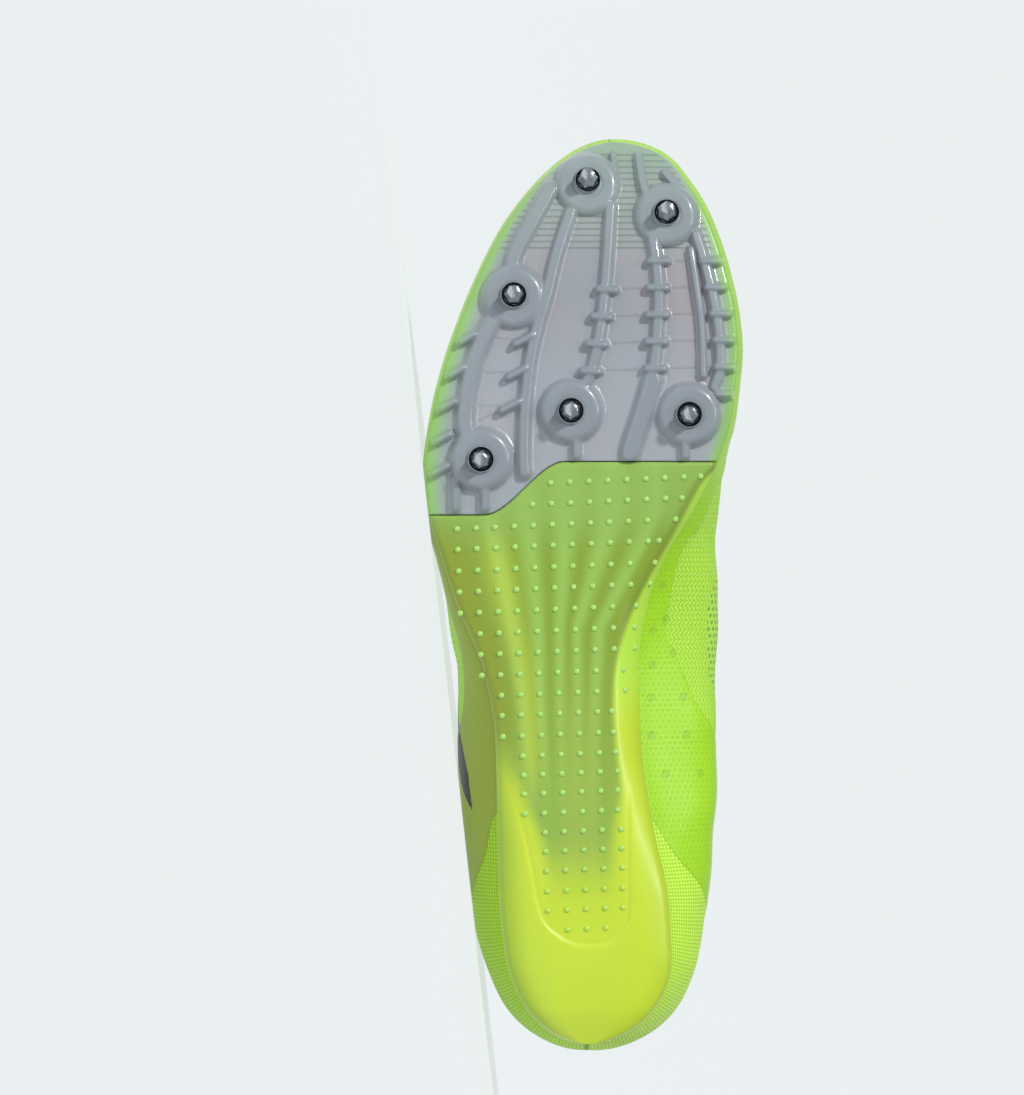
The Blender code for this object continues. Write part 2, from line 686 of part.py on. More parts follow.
def spike_frame(along, across):
    """The seat of a spike: a matrix whose Z axis points out of the sole."""
    seat = place_on_sole(along, across)
    step = 0.004
    slope = float(plate_web(seat.x + step, seat.y) - plate_web(seat.x - step, seat.y)) / (2 * step)
    out = Vector((BOSS_LEAN * slope, 0, -1)).normalized()
    side = Vector((0, 1, 0))
    ahead = side.cross(out).normalized()
    turn = Matrix((ahead, side, out)).transposed().to_4x4()
    return Matrix.Translation(seat) @ turn


def turned(profile, segments):
    """A closed mesh turned about Z from (radius, height) points, whose ends lie on the axis."""
    shape = bmesh.new()
    rings = []
    for radius, height in profile:
        if radius == 0:
            rings.append([shape.verts.new((0, 0, height))])
            continue
        ring = []
        for n in range(segments):
            angle = 2 * math.pi * n / segments
            ring.append(shape.verts.new((radius * math.cos(angle), radius * math.sin(angle), height)))
        rings.append(ring)
    for low, high in zip(rings, rings[1:]):
        for n in range(segments):
            m = (n + 1) % segments
            corners = [low[n % len(low)], low[m % len(low)], high[m % len(high)], high[n % len(high)]]
            shape.faces.new([c for i, c in enumerate(corners) if c is not corners[i - 1]])
    bmesh.ops.recalc_face_normals(shape, faces=shape.faces)
    return shape


def helper(name, shape, matrix=None):
    """A hidden object for a Boolean."""
    mesh = bpy.data.meshes.new(name)
    shape.to_mesh(mesh)
    shape.free()
    made = bpy.data.objects.new(name, mesh)
    made.matrix_world = matrix or Matrix.Identity(4)
    made.hide_render = True
    made.display_type = "WIRE"
    bpy.context.scene.collection.objects.link(made)
    return made


def boss(n, along, across):
    """The round raised seat of one spike."""
    root = -0.45 * PLATE_THICKNESS
    profile = (
        (0, root),
        (BOSS_FOOT_RADIUS, root),
        (BOSS_FOOT_RADIUS, 0.35 * BOSS_HEIGHT),
        (BOSS_TOP_RADIUS, BOSS_HEIGHT),
        (0, BOSS_HEIGHT),
    )
    return helper(f"boss_{n}", turned(profile, 16), spike_frame(along, across))


def stem_hole(n, along, across):
    """The socket in a seat that takes the spike's stem."""
    low = BOSS_HEIGHT - STEM_LENGTH - FIT_GAP
    radius = STEM_RADIUS + FIT_GAP
    profile = ((0, low), (radius, low), (radius, 2 * BOSS_HEIGHT), (0, 2 * BOSS_HEIGHT))
    return helper(f"socket_{n}", turned(profile, 10), spike_frame(along, across))


def rib(n, width, route):
    """A rounded rib that follows a route over the plate's underside."""
    half = width * BALL_WIDTH / 2
    line = np.array(route) * (LENGTH, BALL_WIDTH)
    shape = bmesh.new()
    rings = []
    for i, (x, y) in enumerate(line):
        ahead = line[min(i + 1, len(line) - 1)] - line[max(i - 1, 0)]
        ahead /= np.linalg.norm(ahead)
        ring = []
        for out, up in ((-1, -0.45), (-1, 0.2), (-0.55, 1), (0.55, 1), (1, 0.2), (1, -0.45)):
            px, py = x - ahead[1] * out * half, y + ahead[0] * out * half
            down = up * (RIB_HEIGHT if up > 0 else PLATE_THICKNESS)
            ring.append(shape.verts.new((px, py, float(plate_web(px, py)) - down)))
        rings.append(ring)
    for a, b in zip(rings, rings[1:]):
        for k in range(len(a)):
            m = (k + 1) % len(a)
            shape.faces.new((a[k], a[m], b[m], b[k]))
    shape.faces.new(rings[0])
    shape.faces.new(rings[-1])
    bmesh.ops.recalc_face_normals(shape, faces=shape.faces)
    return helper(f"rib_{n}", shape)


def bars():
    """The short cross bars: centre, half length and turn of each."""
    made = []
    for route, count, length, turn in BARS:
        rows = np.linspace(0, len(route) - 1, count)
        for along, across in zip(*(curve_through(column, rows) for column in columns(route))):
            made.append((along, across, length * BALL_WIDTH / 2, math.radians(turn)))
    return made


def bar(n, along, across, half, turn):
    """One cross bar with rounded ends and a rounded crest."""
    seat = place_on_sole(along, across)
    shape = bmesh.new()
    rings = []
    for share, size in ((-1, 0.6), (-0.75, 1), (0.75, 1), (1, 0.6)):
        x = seat.x - math.sin(turn) * share * half
        y = seat.y + math.cos(turn) * share * half
        base = float(plate_web(x, y))
        ring = []
        for out, up in ((-1, -0.4), (-0.6, 0.95), (0.6, 0.95), (1, -0.4)):
            height = up * (BAR_HEIGHT * (0.6 + 0.4 * size) if up > 0 else PLATE_THICKNESS)
            px = x + math.cos(turn) * out * BAR_RADIUS * size
            py = y + math.sin(turn) * out * BAR_RADIUS * size
            ring.append(shape.verts.new((px, py, base - height)))
        rings.append(ring)
    for a, b in zip(rings, rings[1:]):
        for k in range(len(a)):
            m = (k + 1) % len(a)
            shape.faces.new((a[k], a[m], b[m], b[k]))
    shape.faces.new(rings[0])
    shape.faces.new(rings[-1])
    bmesh.ops.recalc_face_normals(shape, faces=shape.faces)
    return helper(f"bar_{n}", shape)


def unite(piece, others, operation="UNION"):
    """Joins helpers to a piece, or cuts them from it, one after another."""
    for other in others:
        boolean(piece, other, operation)


def forefoot_plate(material):
    """The stiff spike plate: web, seats, ribs, bars and the sockets of the spikes."""
    points, faces = sole_grid(
        (lambda lane: seam_on_lane(lane, FIT_GAP / 2), lambda lane: SOLE_END),
        plate_web,
        sole_top,
        PLATE_COLUMNS,
    )
    piece = add_object("forefoot_plate", mesh_of("forefoot_plate", points, faces), material)
    unite(piece, [rib(n, *row) for n, row in enumerate(RIBS)])
    unite(piece, [bar(n, *row) for n, row in enumerate(bars())])
    unite(piece, [boss(n, *row) for n, row in enumerate(SPIKES)])
    unite(piece, [stem_hole(n, *row) for n, row in enumerate(SPIKES)], "DIFFERENCE")
    smooth(piece)
    return piece


def spike(n, along, across, material):
    """One steel spike: stem, flange, and a blunt cone with two wrench flats."""
    foot = BOSS_HEIGHT + FIT_GAP
    crown = foot + SPIKE_FLANGE
    profile = (
        (0, BOSS_HEIGHT - STEM_LENGTH),
        (STEM_RADIUS, BOSS_HEIGHT - STEM_LENGTH),
        (STEM_RADIUS, foot),
        (SPIKE_FLANGE_RADIUS, foot),
        (SPIKE_FLANGE_RADIUS, foot + 0.6 * SPIKE_FLANGE),
        (SPIKE_BASE_RADIUS, crown),
        (SPIKE_TIP_RADIUS, crown + SPIKE_LENGTH),
        (0, crown + SPIKE_LENGTH),
    )
    shape = turned(profile, 12)
    for vertex in shape.verts:
        if vertex.co.z > foot + 0.7 * SPIKE_FLANGE:
            vertex.co.y = max(-SPIKE_FLAT, min(SPIKE_FLAT, vertex.co.y))
    mesh = bpy.data.meshes.new(f"spike_{n + 1}")
    shape.to_mesh(mesh)
    shape.free()
    piece = add_object(mesh.name, mesh, material)
    piece.matrix_world = spike_frame(along, across)
    smooth(piece, 30)
    return piece


def insole_outline(row, side, inset):
    """A point inside the upper's foot, an inset away from its inner face."""
    section = upper_section(row, side)
    spine_x = float(curve_through(columns(UPPER)[0], row)) * LENGTH
    spine = np.array((spine_x, float(centre_line(spine_x))))
    foot = section[0, :2]
    away = foot - spine
    return spine, foot - away / np.linalg.norm(away) * inset


def insole(material):
    """The thin foam insole, inside the foot of the upper."""
    rows = np.linspace(0, len(UPPER) - 1, 27)
    inset = WALL + INSOLE_CLEARANCE
    shares = (1.0, 0.6)
    points, number = [], {}
    for side in (1, -1):
        for k, row in enumerate(rows):
            spine, rim = insole_outline(row, side, inset)
            for j, share in enumerate(shares):
                if side < 0 and k in (0, len(rows) - 1):
                    number[side, k, j] = number[1, k, j]
                    continue
                number[side, k, j] = len(points)
                points.append(spine + (rim - spine) * share)
            number[side, k, len(shares)] = centre_number(points, number, k, spine)
    flat = np.array(points)
    base = sole_top(flat[:, 0], flat[:, 1]) + FIT_GAP
    low = np.column_stack([flat, base])
    high = np.column_stack([flat, base + INSOLE_THICKNESS])
    shift, faces = len(flat), []
    for side in (1, -1):
        for k in range(len(rows) - 1):
            for j in range(len(shares)):
                quad = [number[side, k, j], number[side, k + 1, j]]
                quad += [number[side, k + 1, j + 1], number[side, k, j + 1]]
                quad = [c for n, c in enumerate(quad) if c != quad[n - 1]]
                if len(quad) < 3:
                    continue
                quad = quad if side > 0 else quad[::-1]
                faces += [quad, [c + shift for c in reversed(quad)]]
            a, b = number[side, k, 0], number[side, k + 1, 0]
            rim = [a, b, b + shift, a + shift]
            faces.append(rim[::-1] if side > 0 else rim)
    piece = add_object("insole", mesh_of("insole", np.vstack([low, high]), faces), material)
    smooth(piece)
    return piece


def centre_number(points, number, k, spine):
    """The point on the centre line that a column shares with its neighbours in a fan."""
    for old, place in enumerate(points):
        if np.linalg.norm(place - spine) < 0.0012:
            return old
    points.append(spine)
    return len(points) - 1


def tongue(material):
    """The tongue: it lies under the throat and stands up free above the top eyelets."""
    lanes = np.linspace(-1, 1, 9)
    stations = np.linspace(TONGUE_FRONT, LAST_EYELET, 10) * LENGTH
    outer = []
    for x in stations:
        half = TONGUE_HALF_WIDTH * (0.80 + 0.20 * ease((stations[0] - x) / TONGUE_WIDENS))
        outer.append(tongue_row(x, half, lanes))
    rise = outer[-1] - outer[-2]
    heading = rise[len(lanes) // 2] / np.linalg.norm(rise[len(lanes) // 2])
    corner = outer[-1].copy()
    middle = corner[len(lanes) // 2]
    at = corner
    for before, share in zip(TONGUE_TIP_STEPS, TONGUE_TIP_STEPS[1:]):
        turn = math.radians(TONGUE_TIP_BEND) * (before + share) / 2
        ahead = np.array((heading[0] * math.cos(turn), 0, heading[2]))
        ahead[2] += -heading[0] * math.sin(turn)
        at = at + ahead / np.linalg.norm(ahead) * TONGUE_TIP_RISE * (share - before)
        narrow = 0.72 + 0.28 * float(round_end((1.0 - share) / 0.3))
        row = at.copy()
        row[:, 1] = middle[1] + (row[:, 1] - middle[1]) * narrow
        outer.append(row)
    grid = np.array(outer)
    count, width = grid.shape[:2]
    points = grid.reshape(-1, 3)
    faces = []
    for i in range(count - 1):
        for j in range(width - 1):
            a = i * width + j
            faces.append([a, a + width, a + width + 1, a + 1])
    normals = vertex_normals(points, faces)
    if normals[:, 2].mean() < 0:
        normals = -normals
    low = points - normals * TONGUE_THICKNESS
    shift = len(points)
    all_faces = faces + [[c + shift for c in reversed(face)] for face in faces]
    border = [i * width for i in range(count)]
    border += [(count - 1) * width + j for j in range(1, width)]
    border += [i * width + width - 1 for i in range(count - 2, -1, -1)]
    border += list(range(width - 2, 0, -1))
    for a, b in zip(border, border[1:] + border[:1]):
        all_faces.append([a, b, b + shift, a + shift])
    piece = add_object("tongue", mesh_of("tongue", np.vstack([points, low]), all_faces), material)
    smooth(piece)
    return piece


def tongue_row(x, half, lanes):
    """One cross row of the tongue's outer face, clear below the upper's inner face."""
    drop = WALL + TONGUE_DROP
    row = []
    for lane in lanes:
        y = float(centre_line(x)) + lane * half
        point = Vector((x, y, cone_height(x, y))) - cone_normal(x, y) * drop
        row.append(tuple(point))
    return np.array(row)


def lace_run(name, start, stop, lift=LACE_LIFT):
    """One flat run of lace from one eyelet to another, over the tongue."""
    start, stop = np.array(start), np.array(stop)
    ahead = (stop - start) / np.linalg.norm(stop - start)
    start = start - ahead * LACE_OVERSHOOT
    stop = stop + ahead * LACE_OVERSHOOT
    shape = bmesh.new()
    rings = []
    for share in np.linspace(0, 1, 6):
        x, y = start + (stop - start) * share
        normal = cone_normal(x, y)
        across = normal.cross(Vector((ahead[0], ahead[1], 0))).normalized()
        centre = Vector((x, y, cone_height(x, y))) + normal * (lift + LACE_THICKNESS / 2)
        ring = []
        for out, up in ((-1, -1), (1, -1), (1, 1), (-1, 1)):
            corner = centre + across * (out * LACE_WIDTH / 2) + normal * (up * LACE_THICKNESS / 2)
            ring.append(shape.verts.new(corner))
        rings.append(ring)
    for a, b in zip(rings, rings[1:]):
        for k in range(4):
            shape.faces.new((a[k], a[(k + 1) % 4], b[(k + 1) % 4], b[k]))
    shape.faces.new(rings[0])
    shape.faces.new(rings[-1])
    bmesh.ops.recalc_face_normals(shape, faces=shape.faces)
    return helper(name, shape)


def laces(material):
    """The crossed lace from the front eyelets to the top ones, as one joined solid."""
    inner, outer = eyelet_places(1), eyelet_places(-1)
    runs = [lace_run("lace_front", outer[0], inner[0])]
    for n in range(EYELET_ROWS - 1):
        runs.append(lace_run(f"lace_in_{n}", outer[n], inner[n + 1]))
        runs.append(lace_run(f"lace_out_{n}", inner[n], outer[n + 1], LACE_LIFT + LACE_CROSSING))
    mesh = runs[0].data.copy()
    mesh.name = "laces"
    piece = add_object("laces", mesh, material)
    bpy.data.objects.remove(runs[0])
    unite(piece, runs[1:])
    smooth(piece)
    return piece


def resting_matrix(pieces):
    """Lays the shoe on its outer side, upright on edge, with heel and ball both on the floor."""
    spots = all_spots(pieces)
    middle = balance_point(pieces).x
    rear = spots[spots[:, 0] < middle][:, :2]
    front = spots[spots[:, 0] >= middle][:, :2]
    low, high = -0.5, 0.5
    for _ in range(40):
        angle = (low + high) / 2
        up = np.array((math.sin(angle), math.cos(angle)))
        if (rear @ up).min() < (front @ up).min():
            high = angle
        else:
            low = angle
    toe_to_heel = Vector((-math.cos(angle), math.sin(angle), 0))
    up = Vector((math.sin(angle), math.cos(angle), 0))
    turn = Matrix((toe_to_heel, up.cross(toe_to_heel), up)).to_4x4()
    placed = spots @ np.array(turn.to_3x3()).T
    low, high = placed.min(0), placed.max(0)
    return Matrix.Translation((-(low[0] + high[0]) / 2, -(low[1] + high[1]) / 2, -low[2])) @ turn


def all_spots(pieces):
    """Every corner of the pieces in the shoe's frame."""
    return np.array([piece.matrix_world @ v.co for piece in pieces for v in piece.data.vertices])


def balance_point(pieces):
    """The shoe's centre of mass."""
    parts = [mass_of(piece) for piece in pieces]
    return sum((centre * mass for mass, centre in parts), Vector()) / sum(mass for mass, _ in parts)


def mass_of(piece):
    """Mass and centre of mass of a closed piece."""
    shape = bmesh.new()
    shape.from_mesh(piece.data)
    bmesh.ops.triangulate(shape, faces=shape.faces)
    volume, moment = 0.0, Vector()
    for face in shape.faces:
        a, b, c = (piece.matrix_world @ v.co for v in face.verts)
        part = a.dot(b.cross(c)) / 6
        volume += part
        moment += (a + b + c) / 4 * part
    shape.free()
    density = DENSITY.get(piece.data.materials[0].name, CLOTH_DENSITY)
    return density * volume, moment / volume


def flatten_on_floor(pieces, rest):
    """Sets the shoe on the floor and flattens what would reach a little below it."""
    down = Matrix.Translation((0, 0, -FLOOR_PRESS)) @ rest
    for piece in pieces:
        place = down @ piece.matrix_world
        back = place.inverted()
        for vertex in piece.data.vertices:
            spot = place @ vertex.co
            if spot.z < 0:
                spot.z = 0
                vertex.co = back @ spot
    return down


def main():
    for old in list(bpy.data.objects):
        bpy.data.objects.remove(old)
    plate_finish = make_material("plate", (0.33, 0.37, 0.40), 0.35)
    rear_finish = make_material("rear_sole", (0.50, 0.74, 0.04), 0.40)
    upper_finish = make_material("upper", (0.36, 0.75, 0.04), 0.65)
    steel_finish = make_material("steel", (0.55, 0.57, 0.60), 0.20, 1.0)
    insole_finish = make_material("insole", (0.45, 0.48, 0.50), 0.80)
    tongue_finish = make_material("tongue", (0.45, 0.80, 0.08), 0.75)
    lace_finish = make_material("laces", (0.50, 0.85, 0.08), 0.80)
    pieces = [
        forefoot_plate(plate_finish),
        rear_sole(rear_finish),
        upper_shell(upper_finish),
        insole(insole_finish),
        tongue(tongue_finish),
        laces(lace_finish),
    ]
    pieces += [spike(n, *row, steel_finish) for n, row in enumerate(SPIKES)]
    bpy.context.view_layer.update()
    rest = flatten_on_floor(pieces, resting_matrix(pieces))
    shoe = bpy.data.objects.new("shoe_on_its_side", None)
    bpy.context.scene.collection.objects.link(shoe)
    shoe.matrix_world = rest
    for piece in pieces:
        piece.parent = shoe


main()
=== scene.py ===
"""Looks of the track spike shoe for the right foot, lying on its outer side.

The shapes repeat the functions and tables of the part's source, in the shoe's own frame: X from heel to toe,
Y towards the inner side of the foot, Z up, in metres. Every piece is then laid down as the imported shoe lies.
"""

import math

import bmesh
import bpy
import numpy as np
from mathutils import Matrix, Vector


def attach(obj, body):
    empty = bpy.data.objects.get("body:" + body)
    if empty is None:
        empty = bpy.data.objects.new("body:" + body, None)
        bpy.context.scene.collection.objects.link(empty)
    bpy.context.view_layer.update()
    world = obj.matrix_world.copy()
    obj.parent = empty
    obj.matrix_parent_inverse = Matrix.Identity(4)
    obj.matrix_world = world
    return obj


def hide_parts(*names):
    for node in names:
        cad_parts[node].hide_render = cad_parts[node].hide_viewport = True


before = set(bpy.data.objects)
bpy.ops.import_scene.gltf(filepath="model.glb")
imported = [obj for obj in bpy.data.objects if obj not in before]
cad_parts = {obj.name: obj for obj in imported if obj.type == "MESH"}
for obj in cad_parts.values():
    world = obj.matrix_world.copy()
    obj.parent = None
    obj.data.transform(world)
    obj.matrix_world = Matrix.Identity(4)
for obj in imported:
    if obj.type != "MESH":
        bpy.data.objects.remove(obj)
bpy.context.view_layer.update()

MM = 0.001

# Driving dimensions, as in the part's source
LENGTH = 0.278
BALL_WIDTH = 0.0916
UPPER_HEIGHT = 0.084
TOE_SWING = 0.008
TOE_SPRING = 0.018
EDGE_CUP = 0.008
HEEL_STACK = 0.008
FIT_GAP = 0.0003
WALL = 0.0016
SEAT_INSET = 0.0006
THROAT_FRONT = 0.687
THROAT_ROUND = 0.020
EYELET_ROWS = 6
EYELET_RADIUS = 0.0021
EYELET_MARGIN = 0.0075
FIRST_EYELET = 0.662
LAST_EYELET = 0.457
PLATE_THICKNESS = 0.0023
SKIN_STEP = 0.0005
PLATE_REAR_INNER = 0.6475
PLATE_REAR_OUTER = 0.5888
SEAM_MIDDLE = -0.213
SEAM_REACH = 0.136
SOLE_ROUND_TOE = 0.216
SOLE_ROUND_HEEL = 0.101
SOLE_START = 0.0018
SOLE_END = LENGTH + 0.0008
BOSS_TOP_RADIUS = 0.0080
BOSS_FOOT_RADIUS = 0.0102
BOSS_HEIGHT = 0.0030
BOSS_LEAN = 0.6
SPIKE_FLANGE_RADIUS = 0.0041
SPIKE_FLANGE = 0.0009
SPIKE_BASE_RADIUS = 0.0033
SPIKE_TIP_RADIUS = 0.0018
SPIKE_LENGTH = 0.0060
SPIKE_FLAT = 0.0022
STEM_RADIUS = 0.0024
STEM_LENGTH = 0.0030
RIB_HEIGHT = 0.0024
BAR_HEIGHT = 0.0033
BAR_RADIUS = 0.0012
TOE_LINES = (0.2454, 0.2750)  # where the fine lines across the toe begin and end
TOE_LINE_PITCH = 0.00195
INSOLE_THICKNESS = 0.0025
INSOLE_CLEARANCE = 0.0014
TONGUE_THICKNESS = 0.0022
TONGUE_HALF_WIDTH = 0.0215
TONGUE_DROP = 0.0012
TONGUE_FRONT = 0.730
TONGUE_WIDENS = 0.05
TONGUE_TIP_RISE = 0.026
TONGUE_TIP_BEND = 40
LACE_WIDTH = 0.0060
LACE_THICKNESS = 0.0012
LACE_LIFT = 0.0011

OUTLINE = (
    (0.000, 0.258, 0.283),
    (0.070, 0.266, 0.283),
    (0.160, 0.295, 0.272),
    (0.250, 0.302, 0.217),
    (0.340, 0.310, 0.179),
    (0.415, 0.347, 0.172),
    (0.485, 0.432, 0.199),
    (0.540, 0.490, 0.256),
    (0.595, 0.544, 0.345),
    (0.650, 0.561, 0.416),
    (0.705, 0.549, 0.451),
    (0.760, 0.519, 0.454),
    (0.810, 0.481, 0.436),
    (0.865, 0.450, 0.412),
    (0.910, 0.431, 0.403),
    (0.955, 0.404, 0.402),
    (1.000, 0.371, 0.470),
)
SOLE = (
    (0.000, 0.30, 0.30, 0.30, 0.90, 0.70),
    (0.050, 0.06, 0.45, 0.45, 1.00, 0.70),
    (0.120, 0.00, 0.50, 0.50, 1.00, 0.65),
    (0.230, 0.00, 0.50, 0.60, 1.00, 0.60),
    (0.340, 0.06, 0.55, 0.90, 0.80, 0.50),
    (0.450, 0.11, 0.55, 1.00, 0.58, 0.42),
    (0.560, 0.06, 0.35, 0.60, 0.38, 0.34),
    (0.650, 0.00, 0.22, 0.26, 0.28, 0.27),
    (0.740, 0.03, 0.20, 0.20, 0.26, 0.26),
    (0.820, 0.15, 0.20, 0.20, 0.26, 0.26),
    (0.900, 0.39, 0.20, 0.20, 0.26, 0.26),
    (0.955, 0.63, 0.16, 0.16, 0.26, 0.26),
    (1.000, 1.00, 0.10, 0.10, 0.26, 0.26),
)
UPPER = (
    (0.122, 180, 0.046, 0.046, 0.200, 0.330, 0.330, 0.700, 0.322, 0.930, 60, 96),
    (0.122, 143, 0.055, 0.066, 0.200, 0.330, 0.330, 0.680, 0.314, 0.900, 55, 94),
    (0.130, 112, 0.070, 0.090, 0.200, 0.345, 0.345, 0.640, 0.312, 0.840, 50, 92),
    (0.187, 90, 0.104, 0.150, 0.205, 0.368, 0.368, 0.580, 0.325, 0.765, 45, 90),
    (0.270, 90, 0.126, 0.230, 0.215, 0.388, 0.388, 0.540, 0.342, 0.715, 42, 86),
    (0.353, 90, 0.117, 0.259, 0.225, 0.390, 0.388, 0.560, 0.335, 0.790, 38, 80),
    (0.432, 90, 0.079, 0.257, 0.215, 0.375, 0.375, 0.690, 0.262, 0.975, 40, 56),
    (0.504, 90, 0.028, 0.221, 0.190, 0.380, 0.360, 0.655, 0.195, 0.915, 48, 40),
    (0.576, 90, 0.003, 0.110, 0.165, 0.400, 0.355, 0.570, 0.160, 0.800, 58, 31),
    (0.640, 90, 0.000, 0.038, 0.150, 0.415, 0.360, 0.490, 0.140, 0.700, 66, 25),
    (0.690, 90, 0.001, 0.022, 0.140, 0.400, 0.350, 0.450, 0.130, 0.650, 70, 17),
    (0.762, 90, 0.005, 0.019, 0.135, 0.370, 0.320, 0.420, 0.000, 0.575, 72, 0),
    (0.828, 84, 0.005, 0.018, 0.130, 0.325, 0.280, 0.415, 0.000, 0.520, 72, 0),
    (0.880, 62, 0.008, 0.017, 0.115, 0.275, 0.250, 0.425, 0.000, 0.490, 72, 0),
    (0.902, 30, 0.012, 0.015, 0.095, 0.235, 0.225, 0.435, 0.000, 0.480, 72, 0),
    (0.908, 0, 0.014, 0.014, 0.080, 0.205, 0.205, 0.442, 0.000, 0.478, 72, 0),
)
THROAT_ROWS = (6, 10)
SPIKES = (
    (0.955, 0.000),
    (0.920, 0.263),
    (0.829, -0.247),
    (0.703, -0.057),
    (0.699, 0.336),
    (0.650, -0.356),
)
RIBS = (
    (0.066, ((0.950, -0.126), (0.910, -0.191), (0.874, -0.247), (0.850, -0.250))),
    (0.052, ((0.921, -0.060), (0.874, -0.106), (0.834, -0.135), (0.791, -0.172), (0.754, -0.195),
             (0.705, -0.210), (0.656, -0.214), (0.635, -0.211))),
    (0.047, ((0.930, 0.076), (0.864, 0.063), (0.808, 0.046), (0.777, 0.032), (0.746, 0.009),
             (0.719, -0.022))),
    (0.036, ((0.987, 0.172), (0.957, 0.183), (0.932, 0.207))),
    (0.048, ((0.896, 0.216), (0.874, 0.225), (0.838, 0.236), (0.778, 0.228), (0.740, 0.214))),
    (0.083, ((0.737, 0.214), (0.700, 0.181), (0.673, 0.153), (0.657, 0.139))),
    (0.043, ((0.898, 0.362), (0.874, 0.384), (0.840, 0.410), (0.795, 0.435), (0.751, 0.440), (0.729, 0.421))),
    (0.030, ((0.881, 0.344), (0.840, 0.362), (0.795, 0.379), (0.742, 0.383))),
    (0.026, ((0.989, 0.087), (0.962, 0.091))),
    (0.033, ((0.967, 0.260), (0.945, 0.318))),
    (0.075, ((0.806, -0.311), (0.791, -0.338), (0.761, -0.377), (0.727, -0.400), (0.693, -0.410),
             (0.669, -0.398))),
    (0.037, ((0.673, -0.039), (0.654, -0.039))),
    (0.037, ((0.669, 0.323), (0.654, 0.323))),
    (0.037, ((0.630, -0.343), (0.597, -0.343))),
    (0.037, ((0.630, -0.440), (0.597, -0.440))),
)
BARS = (
    (((0.836, 0.063), (0.746, 0.009)), 4, 0.080, 3),
    (((0.868, 0.236), (0.749, 0.223)), 5, 0.083, 0),
    (((0.868, 0.409), (0.795, 0.447), (0.721, 0.457)), 6, 0.078, 0),
    (((0.783, -0.402), (0.709, -0.469), (0.638, -0.494)), 5, 0.078, -30),
    (((0.781, -0.214), (0.708, -0.259)), 3, 0.090, -28),
)


def columns(table):
    """The columns of a table as arrays."""
    return [np.array(column, float) for column in zip(*table)]


def between(a, b, u, leave, arrive):
    """A smooth curve from a to b for u from 0 to 1, with its slopes at both ends."""
    ends = a * (1 + 2 * u) * (1 - u) ** 2 + b * u * u * (3 - 2 * u)
    return ends + leave * u * (1 - u) ** 2 - arrive * u * u * (1 - u)


def smooth_between(knots, values, at):
    """Values at the places `at`, on a smooth curve through the knots that does not overshoot."""
    knots, values, at = (np.asarray(a, float) for a in (knots, values, at))
    step = np.diff(knots)
    slope = np.diff(values) / step
    inner = np.where(slope[1:] * slope[:-1] > 0, 1.0, 0.0)
    weight_a = 2 * step[1:] + step[:-1]
    weight_b = step[1:] + 2 * step[:-1]
    safe_a = np.where(slope[:-1] == 0, 1, slope[:-1])
    safe_b = np.where(slope[1:] == 0, 1, slope[1:])
    mean = (weight_a + weight_b) / (weight_a / safe_a + weight_b / safe_b)
    tangent = np.concatenate([[slope[0]], mean * inner, [slope[-1]]])
    i = np.clip(np.searchsorted(knots, at) - 1, 0, len(step) - 1)
    u = (at - knots[i]) / step[i]
    return between(values[i], values[i + 1], u, step[i] * tangent[i], step[i] * tangent[i + 1])


def unit(vectors):
    """Vectors scaled to length 1."""
    return vectors / np.maximum(np.linalg.norm(vectors, axis=-1, keepdims=True), 1e-12)


def run_length(points, axis=0):
    """How far along its line each point lies."""
    legs = np.linalg.norm(np.diff(points, axis=axis), axis=-1)
    return np.concatenate([np.zeros_like(legs.take([0], axis)), np.cumsum(legs, axis=axis)], axis=axis)


def grid_faces(grid):
    """Four-sided faces between the neighbours in a grid of point numbers."""
    return np.stack([grid[:-1, :-1], grid[1:, :-1], grid[1:, 1:], grid[:-1, 1:]], axis=-1).reshape(-1, 4)


def curve_through(values, at):
    """Values at fractional row numbers, on a smooth curve through a table's rows."""
    values = np.asarray(values, float)
    padded = np.concatenate([[2 * values[0] - values[1]], values, [2 * values[-1] - values[-2]]])
    at = np.clip(np.asarray(at, float), 0, len(values) - 1)
    i = np.minimum(at.astype(int), len(values) - 2)
    u = at - i
    a, b, c, d = padded[i], padded[i + 1], padded[i + 2], padded[i + 3]
    return 0.5 * (
        2 * b + (c - a) * u + (2 * a - 5 * b + 4 * c - d) * u**2 + (3 * b - 3 * c + d - a) * u**3
    )


def ease(x):
    """0 below 0, 1 above 1, and a smooth step between."""
    x = np.clip(x, 0, 1)
    return x * x * (3 - 2 * x)


def round_end(x):
    """0 at 0 and 1 from 1 on, as a quarter of a circle."""
    return np.sqrt(1 - (1 - np.clip(x, 0, 1)) ** 2)


def bell(x, width):
    """1 at 0, falling to nothing over a few widths on either side."""
    return np.exp(-((x / width) ** 2))


def centre_line(x):
    """Where the shoe's middle runs, across, at a place along its length."""
    return TOE_SWING * ease((np.asarray(x, float) / LENGTH - 0.5) / 0.5)


def sole_half_width(x, side):
    """Centre line to the sole's edge. side is 1 for the inner side and -1 for the outer."""
    along, outer, inner = columns(OUTLINE)
    x = np.asarray(x, float)
    wide = smooth_between(along * LENGTH, (inner if side > 0 else outer) * BALL_WIDTH, x)
    heel = round_end((x - SOLE_START) / (SOLE_ROUND_HEEL * LENGTH))
    return wide * heel * round_end((SOLE_END - x) / (SOLE_ROUND_TOE * LENGTH))


def sole_column(x, name):
    """One column of SOLE at a place along the length."""
    along, *rest = columns(SOLE)
    names = ("rise", "outer_cup", "inner_cup", "middle", "edge")
    return smooth_between(along, rest[names.index(name)], np.asarray(x, float) / LENGTH)


